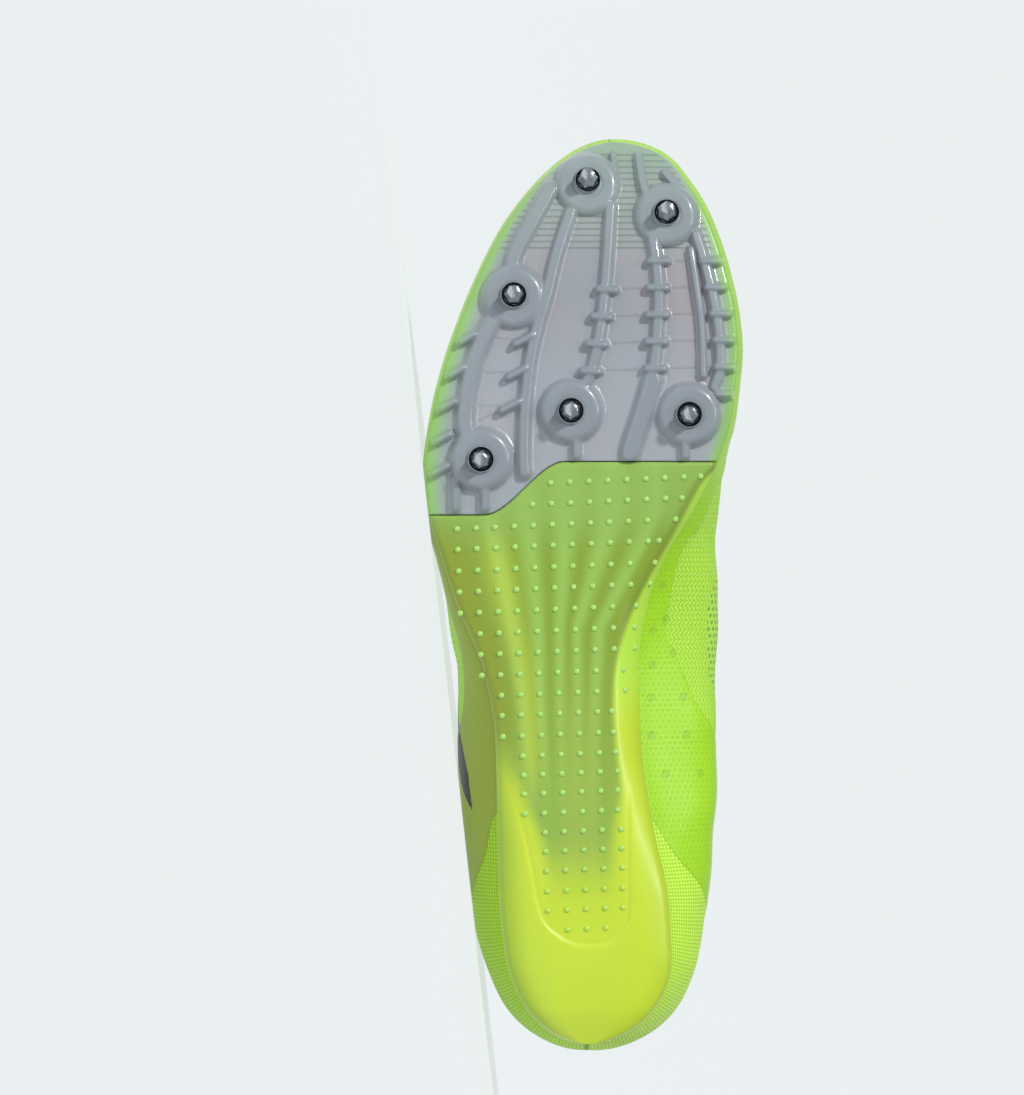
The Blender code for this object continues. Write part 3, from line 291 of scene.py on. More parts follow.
def edge_share(x, y):
    """Where a point lies between the centre line, 0, and the sole's edge, 1."""
    across = np.asarray(y, float) - centre_line(x)
    half = np.where(across > 0, sole_half_width(x, 1), sole_half_width(x, -1))
    return np.clip(np.abs(across) / np.maximum(half, 1e-4), 0, 1.2)


def curl(share):
    """How the sole's cup grows from its flat middle to its edge."""
    flat = 0.4
    return (np.clip(share - flat, 0, None) / (1 - flat)) ** 2


def cup(x, y):
    """Rise of the sole's edge beside a point."""
    inner = np.asarray(y, float) > centre_line(x)
    return EDGE_CUP * np.where(inner, sole_column(x, "inner_cup"), sole_column(x, "outer_cup"))


def sole_bottom(x, y):
    """Height of the sole's smooth underside."""
    return TOE_SPRING * sole_column(x, "rise") + cup(x, y) * curl(edge_share(x, y))


def sole_top(x, y):
    """Height of the surface that carries the upper and the insole."""
    middle = HEEL_STACK * sole_column(x, "middle")
    edge = HEEL_STACK * sole_column(x, "edge")
    rise = TOE_SPRING * sole_column(x, "rise")
    return rise + middle + (cup(x, y) + edge - middle) * curl(edge_share(x, y))


def plate_web(x, y):
    """Height of the plate's underside between its ribs."""
    return sole_top(x, y) - PLATE_THICKNESS


def seam_along(y):
    """Where the plate ends and the rear sole begins, along the shoe."""
    swing = ease((np.asarray(y, float) / BALL_WIDTH - SEAM_MIDDLE) / (2 * SEAM_REACH) + 0.5)
    return LENGTH * (PLATE_REAR_OUTER + (PLATE_REAR_INNER - PLATE_REAR_OUTER) * swing)


def edge_distance(spine, direction, inset):
    """Distance from a point on the centre line to the sole's edge, less an inset, along a direction."""
    reach = np.linspace(0, 0.7 * BALL_WIDTH, 600)
    x = spine[0] + reach * direction[0]
    y = spine[1] + reach * direction[1]
    side = 1 if direction[1] >= 0 else -1
    room = sole_half_width(np.clip(x, 0, SOLE_END), side) - np.abs(y - centre_line(x))
    room = np.minimum(room, np.minimum(x - SOLE_START, SOLE_END - x))
    room[0] = 1
    last = int(np.argmax(room < 1e-6)) if (room < 1e-6).any() else len(reach)
    if last == len(reach):
        return reach[-1] - inset
    share = room[last - 1] / (room[last - 1] - room[last]) if last > 1 else 0
    return reach[last - 1] + (reach[last] - reach[last - 1]) * min(share, 1) - inset


def throat_share(row, x):
    """1 along the opening, falling to 0 in a rounded end where the lacing opening closes."""
    if row < THROAT_ROWS[0]:
        return 1.0
    return float(round_end(max(THROAT_FRONT * LENGTH - x, 0) / THROAT_ROUND))


def smooth_run(knots, ends, steps):
    """Points evenly spaced on a curve through the knots, leaving and arriving along two directions."""
    legs = np.linalg.norm(np.diff(knots, axis=0), axis=1)
    ahead = np.diff(knots, axis=0) / legs[:, None]
    turns = [unit(a * after + b * before) for a, b, before, after in zip(ahead, ahead[1:], legs, legs[1:])]
    tangents = [ends[0], *turns, ends[1]]
    fine = []
    for i, leg in enumerate(legs):
        u = np.linspace(0, 1, 24, endpoint=i == len(legs) - 1)[:, None]
        fine.append(between(knots[i], knots[i + 1], u, leg * tangents[i], leg * tangents[i + 1]))
    fine = np.vstack(fine)
    length = run_length(fine)
    even = np.linspace(0, length[-1], steps + 1)
    return np.column_stack([np.interp(even, length, fine[:, k]) for k in range(2)])


def upper_section(row, side, steps):
    """One section of the upper's outer face, sole to top edge, as points in the shoe's frame."""
    at = [curve_through(column, row) for column in columns(UPPER)]
    spine_x, turn, over_o, over_i, belly_up, sho_o, sho_i, sho_up, top_out, top_up, start, top = at
    over, shoulder = (over_i, sho_i) if side > 0 else (over_o, sho_o)
    spine_x *= LENGTH
    spine = (spine_x, float(centre_line(spine_x)))
    turn = math.radians(min(max(turn, 0.0), 180.0))
    direction = (math.cos(turn), side * math.sin(turn))
    foot_out = edge_distance(spine, direction, SEAT_INSET)
    foot_x = spine[0] + foot_out * direction[0]
    foot_y = spine[1] + foot_out * direction[1]
    foot_up = float(sole_top(foot_x, foot_y)) + FIT_GAP
    top_out = top_out * BALL_WIDTH * throat_share(row, spine_x)
    knots = np.array(
        [
            (foot_out, foot_up),
            (foot_out + SEAT_INSET + over * BALL_WIDTH, foot_up + belly_up * UPPER_HEIGHT),
            (shoulder * BALL_WIDTH, sho_up * UPPER_HEIGHT),
            (top_out, top_up * UPPER_HEIGHT),
        ]
    )
    start, top = math.radians(start), math.radians(top)
    ends = (np.array([math.cos(start), math.sin(start)]), np.array([-math.cos(top), math.sin(top)]))
    flat = smooth_run(knots, ends, steps)
    out, up = flat.T
    return np.column_stack([spine[0] + out * direction[0], spine[1] + out * direction[1], up])


def row_at(x, first=4, last=12, count=3000):
    """The fractional row of UPPER whose section stands at a place along the shoe."""
    rows = np.linspace(first, last, count)
    return float(np.interp(x, curve_through(columns(UPPER)[0], rows) * LENGTH, rows))


def cone_height(x, y):
    """Height of the upper's outer face over a place in the lacing, carried on across the opening."""
    side = 1 if y >= float(centre_line(x)) else -1
    row = row_at(x)
    section = upper_section(row, side, 24)
    reach = np.abs(section[:, 1] - float(centre_line(x)))
    r = abs(y - float(centre_line(x)))
    edge, height = reach[-1], section[-1, 2]
    if r < edge:
        slope = math.tan(math.radians(float(curve_through(columns(UPPER)[-1], row))))
        return height + slope / (2 * max(edge, 1e-4)) * (edge**2 - r**2)
    high = section[:, 2] > section[:, 2].max() - 0.5 * UPPER_HEIGHT
    order = np.argsort(reach[high])
    return float(np.interp(r, reach[high][order], section[high][order, 2]))


def cone_normal(x, y):
    """The outward normal of that face."""
    step = 0.0012
    along = (cone_height(x + step, y) - cone_height(x - step, y)) / (2 * step)
    across = (cone_height(x, y + step) - cone_height(x, y - step)) / (2 * step)
    return Vector((-along, -across, 1)).normalized()


def eyelet_places(side):
    """Where the eyelets of one side lie, seen from above, front pair first."""
    places = []
    for x in np.linspace(FIRST_EYELET, LAST_EYELET, EYELET_ROWS) * LENGTH:
        section = upper_section(row_at(x), side, 8)
        edge = abs(section[-1, 1] - float(centre_line(x)))
        places.append((x, float(centre_line(x)) + side * (edge + EYELET_MARGIN)))
    return places


def spike_frame(along, across):
    """The seat of a spike: a matrix whose Z axis points out of the sole."""
    x, y = along * LENGTH, across * BALL_WIDTH
    step = 0.004
    slope = float(plate_web(x + step, y) - plate_web(x - step, y)) / (2 * step)
    out = Vector((BOSS_LEAN * slope, 0, -1)).normalized()
    side = Vector((0, 1, 0))
    turn = Matrix((side.cross(out).normalized(), side, out)).transposed().to_4x4()
    return Matrix.Translation((x, y, float(plate_web(x, y)))) @ turn


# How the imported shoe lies


def turned(profile, segments):
    """Points and faces of a shape turned about Z from (radius, height) points that end on the axis."""
    points, rings, faces = [], [], []
    for radius, height in profile:
        count = segments if radius > 0 else 1
        rings.append([len(points) + n for n in range(count)])
        for n in range(count):
            angle = 2 * math.pi * n / segments
            points.append((radius * math.cos(angle), radius * math.sin(angle), height))
    for low, high in zip(rings, rings[1:]):
        for n in range(segments):
            m = (n + 1) % segments
            corners = [low[n % len(low)], low[m % len(low)], high[m % len(high)], high[n % len(high)]]
            faces.append([c for i, c in enumerate(corners) if c != corners[i - 1]])
    return np.array(points), faces


def centre_of_volume(points, triangles):
    """The centre of the space inside closed triangles."""
    a, b, c = (points[triangles[:, k]] for k in range(3))
    part = np.einsum("ij,ij->i", a, np.cross(b, c))
    return ((a + b + c) / 4 * part[:, None]).sum(0) / part.sum()


def mesh_centre(mesh):
    """The centre of volume of a mesh."""
    mesh.calc_loop_triangles()
    points = np.array([v.co for v in mesh.vertices])
    return centre_of_volume(points, np.array([t.vertices for t in mesh.loop_triangles]))


def solid_spike_centre():
    """How far above its seat a packed spike has its centre of volume."""
    foot = BOSS_HEIGHT + FIT_GAP
    crown = foot + SPIKE_FLANGE
    profile = (
        (0, BOSS_HEIGHT - STEM_LENGTH),
        (STEM_RADIUS, BOSS_HEIGHT - STEM_LENGTH),
        (STEM_RADIUS, foot),
        (SPIKE_FLANGE_RADIUS, foot),
        (SPIKE_FLANGE_RADIUS, foot + 0.6 * SPIKE_FLANGE),
        (SPIKE_BASE_RADIUS, crown),
        (SPIKE_TIP_RADIUS, crown + SPIKE_LENGTH),
        (0, crown + SPIKE_LENGTH),
    )
    points, faces = turned(profile, 12)
    upper_part = points[:, 2] > foot + 0.7 * SPIKE_FLANGE
    points[upper_part, 1] = np.clip(points[upper_part, 1], -SPIKE_FLAT, SPIKE_FLAT)
    triangles = [(face[0], face[i], face[i + 1]) for face in faces for i in range(1, len(face) - 1)]
    return centre_of_volume(points, np.array(triangles))[2]


def lay_of_the_shoe():
    """The turn and shift from the shoe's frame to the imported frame, from the places of the six spikes."""
    up = solid_spike_centre()
    ours = np.array([spike_frame(*row) @ Vector((0, 0, up)) for row in SPIKES])
    theirs = np.array([mesh_centre(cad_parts[f"spike_{n + 1}"].data) for n in range(len(SPIKES))])
    middle, there = ours.mean(0), theirs.mean(0)
    u, _, vt = np.linalg.svd((ours - middle).T @ (theirs - there))
    turn = vt.T @ np.diag([1, 1, np.sign(np.linalg.det(vt.T @ u.T))]) @ u.T
    miss = np.abs((ours - middle) @ turn.T + there - theirs).max()
    print(f"the spikes fit the packed ones to {miss / MM:.4f} mm")
    return turn, there - turn @ middle


TURN, SHIFT = lay_of_the_shoe()


def laid(points):
    """Points of the shoe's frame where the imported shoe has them, flattened where it lies on the floor."""
    placed = np.asarray(points, float) @ TURN.T + SHIFT
    placed[:, 2] = np.maximum(placed[:, 2], 0)
    return placed


# Materials

# Pitches of the upper's cloths, in metres
KNIT_PITCH = 0.0015
MESH_PITCH = 0.0021
DIMPLE_PITCH = 0.0017
BASKET_PITCH = 0.0024


def rgb(red, green, blue):
    """A colour given as a screen shows it, 0 to 255."""
    shares = np.array((red, green, blue)) / 255
    return (*np.where(shares <= 0.04, shares / 12.92, ((shares + 0.055) / 1.055) ** 2.4).tolist(), 1.0)


class Finish:
    """A procedural material and short names for the nodes it is made of."""

    def __init__(self, name, **settings):
        self.material = bpy.data.materials.new(name)
        self.material.use_nodes = True
        self.tree = self.material.node_tree
        self.shader = self.tree.nodes["Principled BSDF"]
        for key, value in settings.items():
            self.show(key.replace("_", " "), value)

    def put(self, socket, value):
        """Links a value to a socket, or sets it. Three numbers are a colour as a screen shows it."""
        if isinstance(value, bpy.types.NodeSocket):
            self.tree.links.new(value, socket)
        else:
            socket.default_value = rgb(*value) if isinstance(value, tuple) and len(value) == 3 else value

    def show(self, name, value):
        """Gives the shader one of its inputs."""
        self.put(self.shader.inputs[name], value)

    def node(self, kind, inputs, **settings):
        """A new node with its settings and the values of its inputs, by name or number."""
        node = self.tree.nodes.new("ShaderNode" + kind)
        for key, value in settings.items():
            setattr(node, key, value)
        for key, value in inputs.items():
            self.put(node.inputs[key], value)
        return node

    def math(self, operation, *values):
        return self.node("Math", dict(enumerate(values)), operation=operation).outputs[0]

    def add(self, total, *others):
        for other in others:
            total = self.math("ADD", total, other)
        return total

    def times(self, product, *others):
        for other in others:
            product = self.math("MULTIPLY", product, other)
        return product

    def wave(self, phase):
        """A sine of a phase in turns, from -1 to 1."""
        return self.math("SINE", self.times(phase, 2 * math.pi))

    def step(self, value, low, high):
        """0 below low, 1 above high, smooth between. low may be the larger."""
        ends = (low, high, 0.0, 1.0) if low < high else (high, low, 1.0, 0.0)
        inputs = dict(zip(("From Min", "From Max", "To Min", "To Max"), ends), Value=value)
        return self.node("MapRange", inputs, interpolation_type="SMOOTHSTEP").outputs["Result"]

    def mix(self, share, a, b):
        return self.node("Mix", {0: share, 6: a, 7: b}, data_type="RGBA").outputs[2]

    def paint(self, tone, *layers):
        """A tone with further tones laid on it, each by its share."""
        for share, layer in layers:
            tone = self.mix(share, tone, layer)
        return tone

    def number(self, name):
        """A number kept at each point of the mesh."""
        return self.node("Attribute", {}, attribute_name=name).outputs["Fac"]

    def place(self, name):
        """Three numbers kept at each point of the mesh."""
        return self.node("Attribute", {}, attribute_name=name).outputs["Vector"]

    def panel(self, name, soft=0.0001):
        """1 inside a panel and 0 outside, from the kept distance to its edge."""
        return self.step(self.number(name), -soft, soft)

    def split(self, vector):
        return self.node("SeparateXYZ", {0: vector}).outputs

    def noise(self, vector, size, detail=2.0):
        """Noise from 0 to 1 whose lumps are about `size` metres."""
        return self.node("TexNoise", {"Vector": vector, "Scale": 1 / size, "Detail": detail}).outputs["Fac"]

    def bump(self, height):
        """Turns a height in metres into the shader's normal."""
        self.show("Normal", self.node("Bump", {"Distance": 1.0, "Height": height}).outputs["Normal"])

    def lattice(self, cloth, pitch):
        """A regular triangular lattice of dots: high in the dots, low between them."""
        along, up, _ = self.split(cloth)
        turns = []
        for a, b in ((1, 0), (0.5, 0.866), (-0.5, 0.866)):
            turns.append(self.wave(self.add(self.times(along, a / pitch), self.times(up, b / pitch), 0.25)))
        return self.add(*turns)

    def knit(self, cloth, pitch):
        """Rows of small V stitches, from 0 to 1."""
        along, up, _ = self.split(cloth)
        zigzag = self.math("PINGPONG", along, pitch)
        rows = self.wave(self.add(self.times(up, 1 / pitch), self.times(zigzag, 0.8 / pitch)))
        ribs = self.math("ABSOLUTE", self.wave(self.times(along, 0.5 / pitch)))
        return self.times(self.add(self.times(rows, 0.5), 0.5), self.add(self.times(ribs, 0.6), 0.4))


def plate_finish():
    """Grey, slightly milky plastic that turns green and clearer towards the edges and the toe."""
    f = Finish("plate_moulding", Roughness=0.34, Coat_Weight=0.5, Coat_Roughness=0.10)
    where = f.place("shoe")
    along = f.split(where)[0]
    rise = f.number("rise")
    cloud = f.noise(where, 0.022, 3.0)
    web = f.mix(f.step(cloud, 0.35, 0.65), (150, 157, 165), (160, 157, 163))
    pale_rear = f.times(f.step(along, 0.232, 0.198), 0.5)
    # Painted shade: the web is darkened where ribs, bars and seats rise from it
    painted_shade_at_rib_feet = f.times(f.step(rise, 0.0001, 0.0005), f.step(rise, 0.0014, 0.0006), 0.3)
    green = f.mix(f.step(cloud, 0.3, 0.7), (152, 176, 156), (158, 180, 172))
    turn = f.math("FRACT", f.times(f.add(along, TOE_LINE_PITCH / 2 - TOE_LINES[0]), 1 / TOE_LINE_PITCH))
    toe_groove = f.times(f.step(f.math("ABSOLUTE", f.add(turn, -0.5)), 0.17, 0.06), f.number("lined"))
    groove = f.math("MAXIMUM", toe_groove, f.times(f.number("crossed"), 0.8))
    f.show("Base Color", f.paint(
        web,
        (pale_rear, (170, 178, 188)),
        (f.step(rise, 0.0003, 0.0020), (141, 149, 158)),
        (painted_shade_at_rib_feet, (118, 126, 134)),
        (f.number("clear"), green),
        (f.number("glow"), (140, 200, 60)),
        # Painted shade in the fine grooves, on top of their real sunken relief
        (f.times(groove, 0.42), (108, 124, 120)),
    ))
    f.bump(f.add(f.times(f.noise(where, 0.0006), 0.00002), f.times(groove, -0.00016)))
    f.show("Roughness", f.add(0.26, f.times(f.noise(where, 0.004, 3.0), 0.14)))
    return f.material


def rear_finish():
    """Milky lime plastic over a fan of darker stripes, with small raised dots, painted shade along the edge,
    the crease and the outer side, and a painted lit inner flank.
    """
    f = Finish("rear_sole_moulding", Roughness=0.38, Coat_Weight=0.25, Coat_Roughness=0.22)
    where = f.place("shoe")
    fan = f.number("fan")
    stripes = f.mix(fan, (134, 164, 48), (152, 192, 84))
    core = f.mix(fan, (146, 176, 66), (156, 188, 78))
    heel = f.mix(f.noise(where, 0.02, 3.0), (190, 216, 44), (200, 224, 56))
    layers = {
        # Painted shade: darker towards the rounded edge
        "rim": (150, 184, 40),
        "zone": f.mix(f.number("core"), stripes, core),
        "glow": (204, 222, 52),
        "front": (148, 188, 90),
        # Painted light: the inner flank, which faces the light, is lighter
        "lit_flank": (184, 232, 74),
        # Painted shade: a darker band along the crease
        "crease": (122, 144, 48),
        # Painted shade: the outer side is darker, as if in shadow
        "outer": (146, 160, 32),
        "dot": (170, 220, 110),
    }
    f.show("Base Color", f.paint(heel, *((f.number(name), tone) for name, tone in layers.items())))
    f.bump(f.times(f.noise(where, 0.0008), 0.00002))
    f.show("Roughness", f.add(0.30, f.times(f.noise(where, 0.005, 3.0), 0.16)))
    return f.material


def upper_finish():
    """Lime knit, open mesh and smooth film, told apart by the distances to the panels' edges, with painted
    shade on the outer side.
    """
    f = Finish("upper_cloth", Roughness=0.6, Sheen_Weight=0.12, Sheen_Roughness=0.5)
    cloth, where = f.place("cloth"), f.place("shoe")
    along, up, _ = f.split(cloth)
    length, width, _ = f.split(where)
    film, stay, wedge = f.panel("film"), f.panel("stay"), f.panel("wedge")
    open_mesh, heel = f.panel("mesh", 0.0003), f.panel("heel", 0.0002)
    spot = f.step(f.number("spot"), 0.0001, -0.0001)
    back_seam = f.times(f.step(f.math("ABSOLUTE", width), 0.0008, 0.0004), f.step(length, 0.024, 0.016))
    # Painted shade: the outer side's film and heel knit are darker, fading towards the middle and the toe
    painted_shade = f.times(f.step(width, 0.012, -0.026), f.step(length, 0.205, 0.150))
    knit = f.knit(cloth, KNIT_PITCH)
    holes = f.step(f.lattice(cloth, MESH_PITCH), 0.9, 1.5)
    dimples = f.step(f.lattice(cloth, DIMPLE_PITCH), 0.7, 1.7)
    rising = f.wave(f.times(f.add(along, up), 1 / BASKET_PITCH))
    falling = f.wave(f.times(f.add(along, f.times(up, -1.0)), 1 / BASKET_PITCH))
    weave = f.step(f.times(rising, falling), -0.5, 0.5)

    bright = f.mix(knit, (160, 214, 52), (196, 244, 84))
    mesh_tone = f.mix(holes, (178, 232, 84), (124, 182, 50))
    painted_shade_heel = f.mix(weave, (140, 188, 4), (176, 220, 26))
    heel_tone = f.mix(painted_shade, f.mix(weave, (166, 222, 40), (210, 252, 90)), painted_shade_heel)
    film_tone = f.paint(
        f.mix(f.noise(where, 0.03, 3.0), (160, 216, 24), (168, 224, 30)),
        (f.times(dimples, 0.35), (138, 196, 34)),
        (painted_shade, (148, 168, 40)),
    )
    f.show("Base Color", f.paint(
        bright,
        (open_mesh, mesh_tone),
        (heel, heel_tone),
        (film, film_tone),
        (f.times(spot, 0.3), (118, 164, 50)),
        (stay, (196, 240, 80)),
        (wedge, (44, 47, 42)),
        (f.times(back_seam, 0.6), (92, 124, 20)),
    ))

    smooth_part = f.math("MAXIMUM", f.math("MAXIMUM", film, stay), wedge)
    f.show("Roughness", f.add(0.66, f.times(smooth_part, -0.30)))
    knit_height = f.times(knit, 0.00022)
    mesh_height = f.add(f.times(holes, -0.00045), f.times(knit_height, -0.5))
    height = f.add(knit_height, f.times(open_mesh, mesh_height))
    height = f.add(f.times(height, f.math("SUBTRACT", 1.0, heel)), f.times(weave, 0.00010, heel))
    height = f.times(height, f.math("SUBTRACT", 1.0, f.times(smooth_part, 0.85)))
    raised = ((film, 0.00025), (stay, 0.0003), (wedge, 0.00025), (spot, -0.00006), (back_seam, -0.0003))
    f.bump(f.add(height, f.times(dimples, film, -0.00006), *(f.times(edge, depth) for edge, depth in raised)))
    return f.material


def woven(f, height, low, high, low_tone, high_tone, depth):
    """A cloth whose colour and relief follow one pattern of height."""
    f.show("Base Color", f.mix(f.step(height, low, high), low_tone, high_tone))
    f.bump(f.times(height, depth))
    return f.material


def lining_finish():
    """Thin grey-green lining cloth."""
    f = Finish("lining_cloth", Roughness=0.8, Sheen_Weight=0.1, Sheen_Roughness=0.5)
    return woven(f, f.lattice(f.place("cloth"), 0.0013), 0.2, 1.8, (188, 222, 110), (132, 166, 70), -0.00006)


def tongue_finish():
    """Soft padded cloth with a fine knit."""
    f = Finish("tongue_cloth", Roughness=0.72, Sheen_Weight=0.15, Sheen_Roughness=0.5)
    cloth = f.place("cloth")
    holes = f.step(f.lattice(cloth, 0.0026), 1.1, 1.6)
    fine = f.lattice(cloth, 0.0008)
    tone = f.mix(f.step(fine, -1.0, 2.0), (200, 242, 92), (172, 220, 70))
    bound = f.panel("bound")
    f.show("Base Color", f.paint(tone, (f.times(holes, 0.8), (126, 168, 44)), (bound, (206, 248, 108))))
    f.bump(f.add(f.times(fine, -0.00004), f.times(holes, -0.0002)))
    return f.material


def insole_finish():
    """Brushed grey cloth over foam."""
    f = Finish("insole_cloth", Roughness=0.85, Sheen_Weight=0.2, Sheen_Roughness=0.5)
    where = f.place("shoe")
    fine = f.lattice(f.place("cloth"), 0.0010)
    worn = f.times(f.noise(where, 0.012, 4.0), 0.4)
    tone = f.mix(f.step(fine, -1.0, 2.0), (150, 156, 158), (122, 128, 130))
    f.show("Base Color", f.mix(worn, tone, (168, 174, 170)))
    f.bump(f.add(f.times(fine, -0.00005), f.times(f.noise(where, 0.0015, 3.0), 0.0001)))
    return f.material


def lace_finish():
    """Flat woven lace: fine diagonal threads and a thicker edge."""
    f = Finish("lace_weave", Roughness=0.7, Sheen_Weight=0.2, Sheen_Roughness=0.4)
    along, across, _ = f.split(f.place("cloth"))
    herring = f.math("PINGPONG", across, 0.0015)
    threads = f.wave(f.add(f.times(along, 1 / 0.0010), f.times(herring, 1 / 0.0012)))
    height = f.add(f.times(threads, 0.5), f.times(f.wave(f.times(across, 1 / 0.0011)), 0.3))
    return woven(f, height, -0.8, 0.6, (148, 196, 52), (208, 250, 112), 0.00012)


def steel_finish():
    """Bright turned steel with fine tool marks, darkened in the flange's recess as painted shade."""
    f = Finish("turned_steel", Metallic=1.0, Roughness=0.16)
    f.show("Base Color", f.mix(f.step(f.number("painted_recess_shade"), 0.2, 0.9), (196, 202, 208), (30, 35, 38)))
    f.show("Roughness", f.add(0.14, f.times(f.noise(f.place("shoe"), 0.0012, 3.0), 0.14)))
    f.bump(f.times(f.wave(f.times(f.number("radius"), 1 / 0.00018)), 0.0000025))
    return f.material


def binding_finish():
    """Ribbed tape that binds the collar."""
    f = Finish("binding_tape", Roughness=0.7, Sheen_Weight=0.15, Sheen_Roughness=0.5)
    along, across, _ = f.split(f.place("cloth"))
    ribs, rows = f.wave(f.times(along, 1 / 0.0009)), f.wave(f.times(across, 1 / 0.0013))
    height = f.add(f.times(ribs, 0.6), f.times(rows, 0.4))
    return woven(f, height, -0.8, 0.7, (156, 206, 56), (198, 244, 92), 0.0001)


def thread_finish():
    """Twisted sewing thread."""
    f = Finish("sewing_thread", Roughness=0.6, Sheen_Weight=0.1, Sheen_Roughness=0.4)
    twist = f.wave(f.times(f.add(*f.split(f.place("shoe"))), 1 / 0.0006))
    return woven(f, twist, -1, 1, (176, 226, 70), (222, 254, 140), 0.00004)


# Meshes


def make_piece(
    name, points, faces, materials, stands_for=(), numbers=None, face_slots=None, sharp=None
):
    """A piece of the shoe, laid down, with numbers kept at its points for the materials."""
    mesh = bpy.data.meshes.new(name)
    mesh.from_pydata(laid(points).tolist(), [], faces)
    for material in materials:
        mesh.materials.append(material)
    if face_slots is not None:
        mesh.polygons.foreach_set("material_index", np.asarray(face_slots, np.int32))
    for key, values in {"shoe": points, **(numbers or {})}.items():
        values = np.asarray(values, np.float32)
        kind, field = ("FLOAT_VECTOR", "vector") if values.ndim == 2 else ("FLOAT", "value")
        mesh.attributes.new(key, kind, "POINT").data.foreach_set(field, values.ravel())
    shape = bmesh.new()
    shape.from_mesh(mesh)
    bmesh.ops.remove_doubles(shape, verts=shape.verts, dist=1e-6)
    bmesh.ops.recalc_face_normals(shape, faces=shape.faces)
    shape.to_mesh(mesh)
    shape.free()
    mesh.shade_smooth()
    if sharp:
        mesh.set_sharp_from_angle(angle=math.radians(sharp))
    piece = bpy.data.objects.new(name, mesh)
    bpy.context.scene.collection.objects.link(piece)
    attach(piece, "root")
    if stands_for:
        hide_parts(*stands_for)
    return piece


def distance_to_line(points, line):
    """Distance from each point to a line of straight legs."""
    points, line = np.asarray(points, float), np.asarray(line, float)
    nearest = np.full(len(points), 1e9)
    for a, b in zip(line, line[1:]):
        leg = b - a
        share = np.clip((points - a) @ leg / max(leg @ leg, 1e-18), 0, 1)
        nearest = np.minimum(nearest, np.linalg.norm(points - a - share[:, None] * leg, axis=1))
    return nearest


def inside_by(points, border):
    """How far inside a closed border each flat point lies, negative outside."""
    border = np.asarray(border, float)
    inside = np.zeros(len(points), bool)
    for a, b in zip(border, np.roll(border, -1, axis=0)):
        crosses = (a[1] > points[:, 1]) != (b[1] > points[:, 1])
        at = a[0] + (points[:, 1] - a[1]) * (b[0] - a[0]) / (b[1] - a[1] if b[1] != a[1] else 1e-12)
        inside ^= crosses & (points[:, 0] < at)
    away = distance_to_line(points, np.vstack([border, border[:1]]))
    return np.where(inside, away, -away)


def rounded_line(points, steps=8):
    """A smooth curve through a few points."""
    rows = np.linspace(0, len(points) - 1, steps * (len(points) - 1) + 1)
    return np.column_stack([curve_through(column, rows) for column in columns(points)])


def joined(parts):
    """Several shapes, each given by its points and faces, as one."""
    points, faces, shift = [], [], 0
    for part_points, part_faces in parts:
        points.append(part_points)
        faces += [[corner + shift for corner in face] for face in part_faces]
        shift += len(part_points)
    return np.vstack(points), faces


def oval(half_width, half_height, count, power=2.0):
    """Points round an oval; a higher power makes it squarer."""
    turn = 2 * math.pi * np.arange(count) / count
    ring = np.column_stack([np.cos(turn), np.sin(turn)])
    return np.sign(ring) * np.abs(ring) ** (2 / power) * (half_width, half_height)


def tube(path, sides, ups, rings):
    """A closed tube along a path. Each place has its own ring of points, given to the side and up."""
    rings = np.asarray(rings)
    points = path[:, None] + sides[:, None] * rings[..., :1] + ups[:, None] * rings[..., 1:]
    grid = np.arange(rings[..., 0].size).reshape(rings.shape[:2])
    faces = grid_faces(np.column_stack([grid, grid[:, 0]]))[:, [0, 3, 2, 1]]
    return points.reshape(-1, 3), [*faces.tolist(), grid[0].tolist(), grid[-1].tolist()]


# The sole

COARSE = 4  # the hidden top of the sole has every fourth line of its underside


def sole_lanes(start, stop, stations, lanes):
    """Flat points of the sole on lanes between two lines across it, and each point's distance to the edge."""
    x = np.array([start(lane) + (stop(lane) - start(lane)) * stations for lane in lanes]).T
    y, edge = np.zeros_like(x), np.zeros_like(x)
    for j, lane in enumerate(lanes):
        half = sole_half_width(np.clip(x[:, j], SOLE_START, SOLE_END), 1 if lane >= 0 else -1)
        y[:, j] = centre_line(x[:, j]) + lane * half
        edge[:, j] = (1 - abs(lane)) * half
    return x, y, edge


def slab(x, y, low, high):
    """A closed slab: a fine underside, a coarse top and walls between them."""
    points = np.stack([x, y, low], axis=-1).reshape(-1, 3)
    fine = np.arange(len(points)).reshape(x.shape)
    picked = np.ix_(range(0, len(x), COARSE), range(0, len(x[0]), COARSE))
    top = np.stack([x[picked], y[picked], high[picked]], axis=-1).reshape(-1, 3)
    coarse = len(points) + np.arange(len(top)).reshape(x[picked].shape)
    faces = grid_faces(fine).tolist() + grid_faces(coarse).tolist()
    for fine_lines, coarse_lines in ((fine.T, coarse.T), (fine, coarse)):
        for end in (0, -1):
            border, rim = fine_lines[end].tolist(), coarse_lines[end].tolist()
            for n in range(len(rim) - 1):
                faces.append([*border[n * COARSE : (n + 1) * COARSE + 1], rim[n + 1], rim[n]])
    return np.vstack([points, top]), faces, picked


def seam_on_lane(lane, offset):
    """Where a lane meets the joint between plate and rear sole, moved along by an offset."""
    x = PLATE_REAR_INNER * LENGTH
    for _ in range(12):
        y = float(centre_line(x)) + lane * float(sole_half_width(x, 1 if lane >= 0 else -1))
        x = float(seam_along(y)) + offset
    return x


def crowded(count):
    """Lanes from -1 to 1 that lie closer together at the two edges."""
    lanes = np.linspace(-1, 1, count)
    return np.sign(lanes) * (1 - (1 - np.abs(lanes)) ** 1.35)


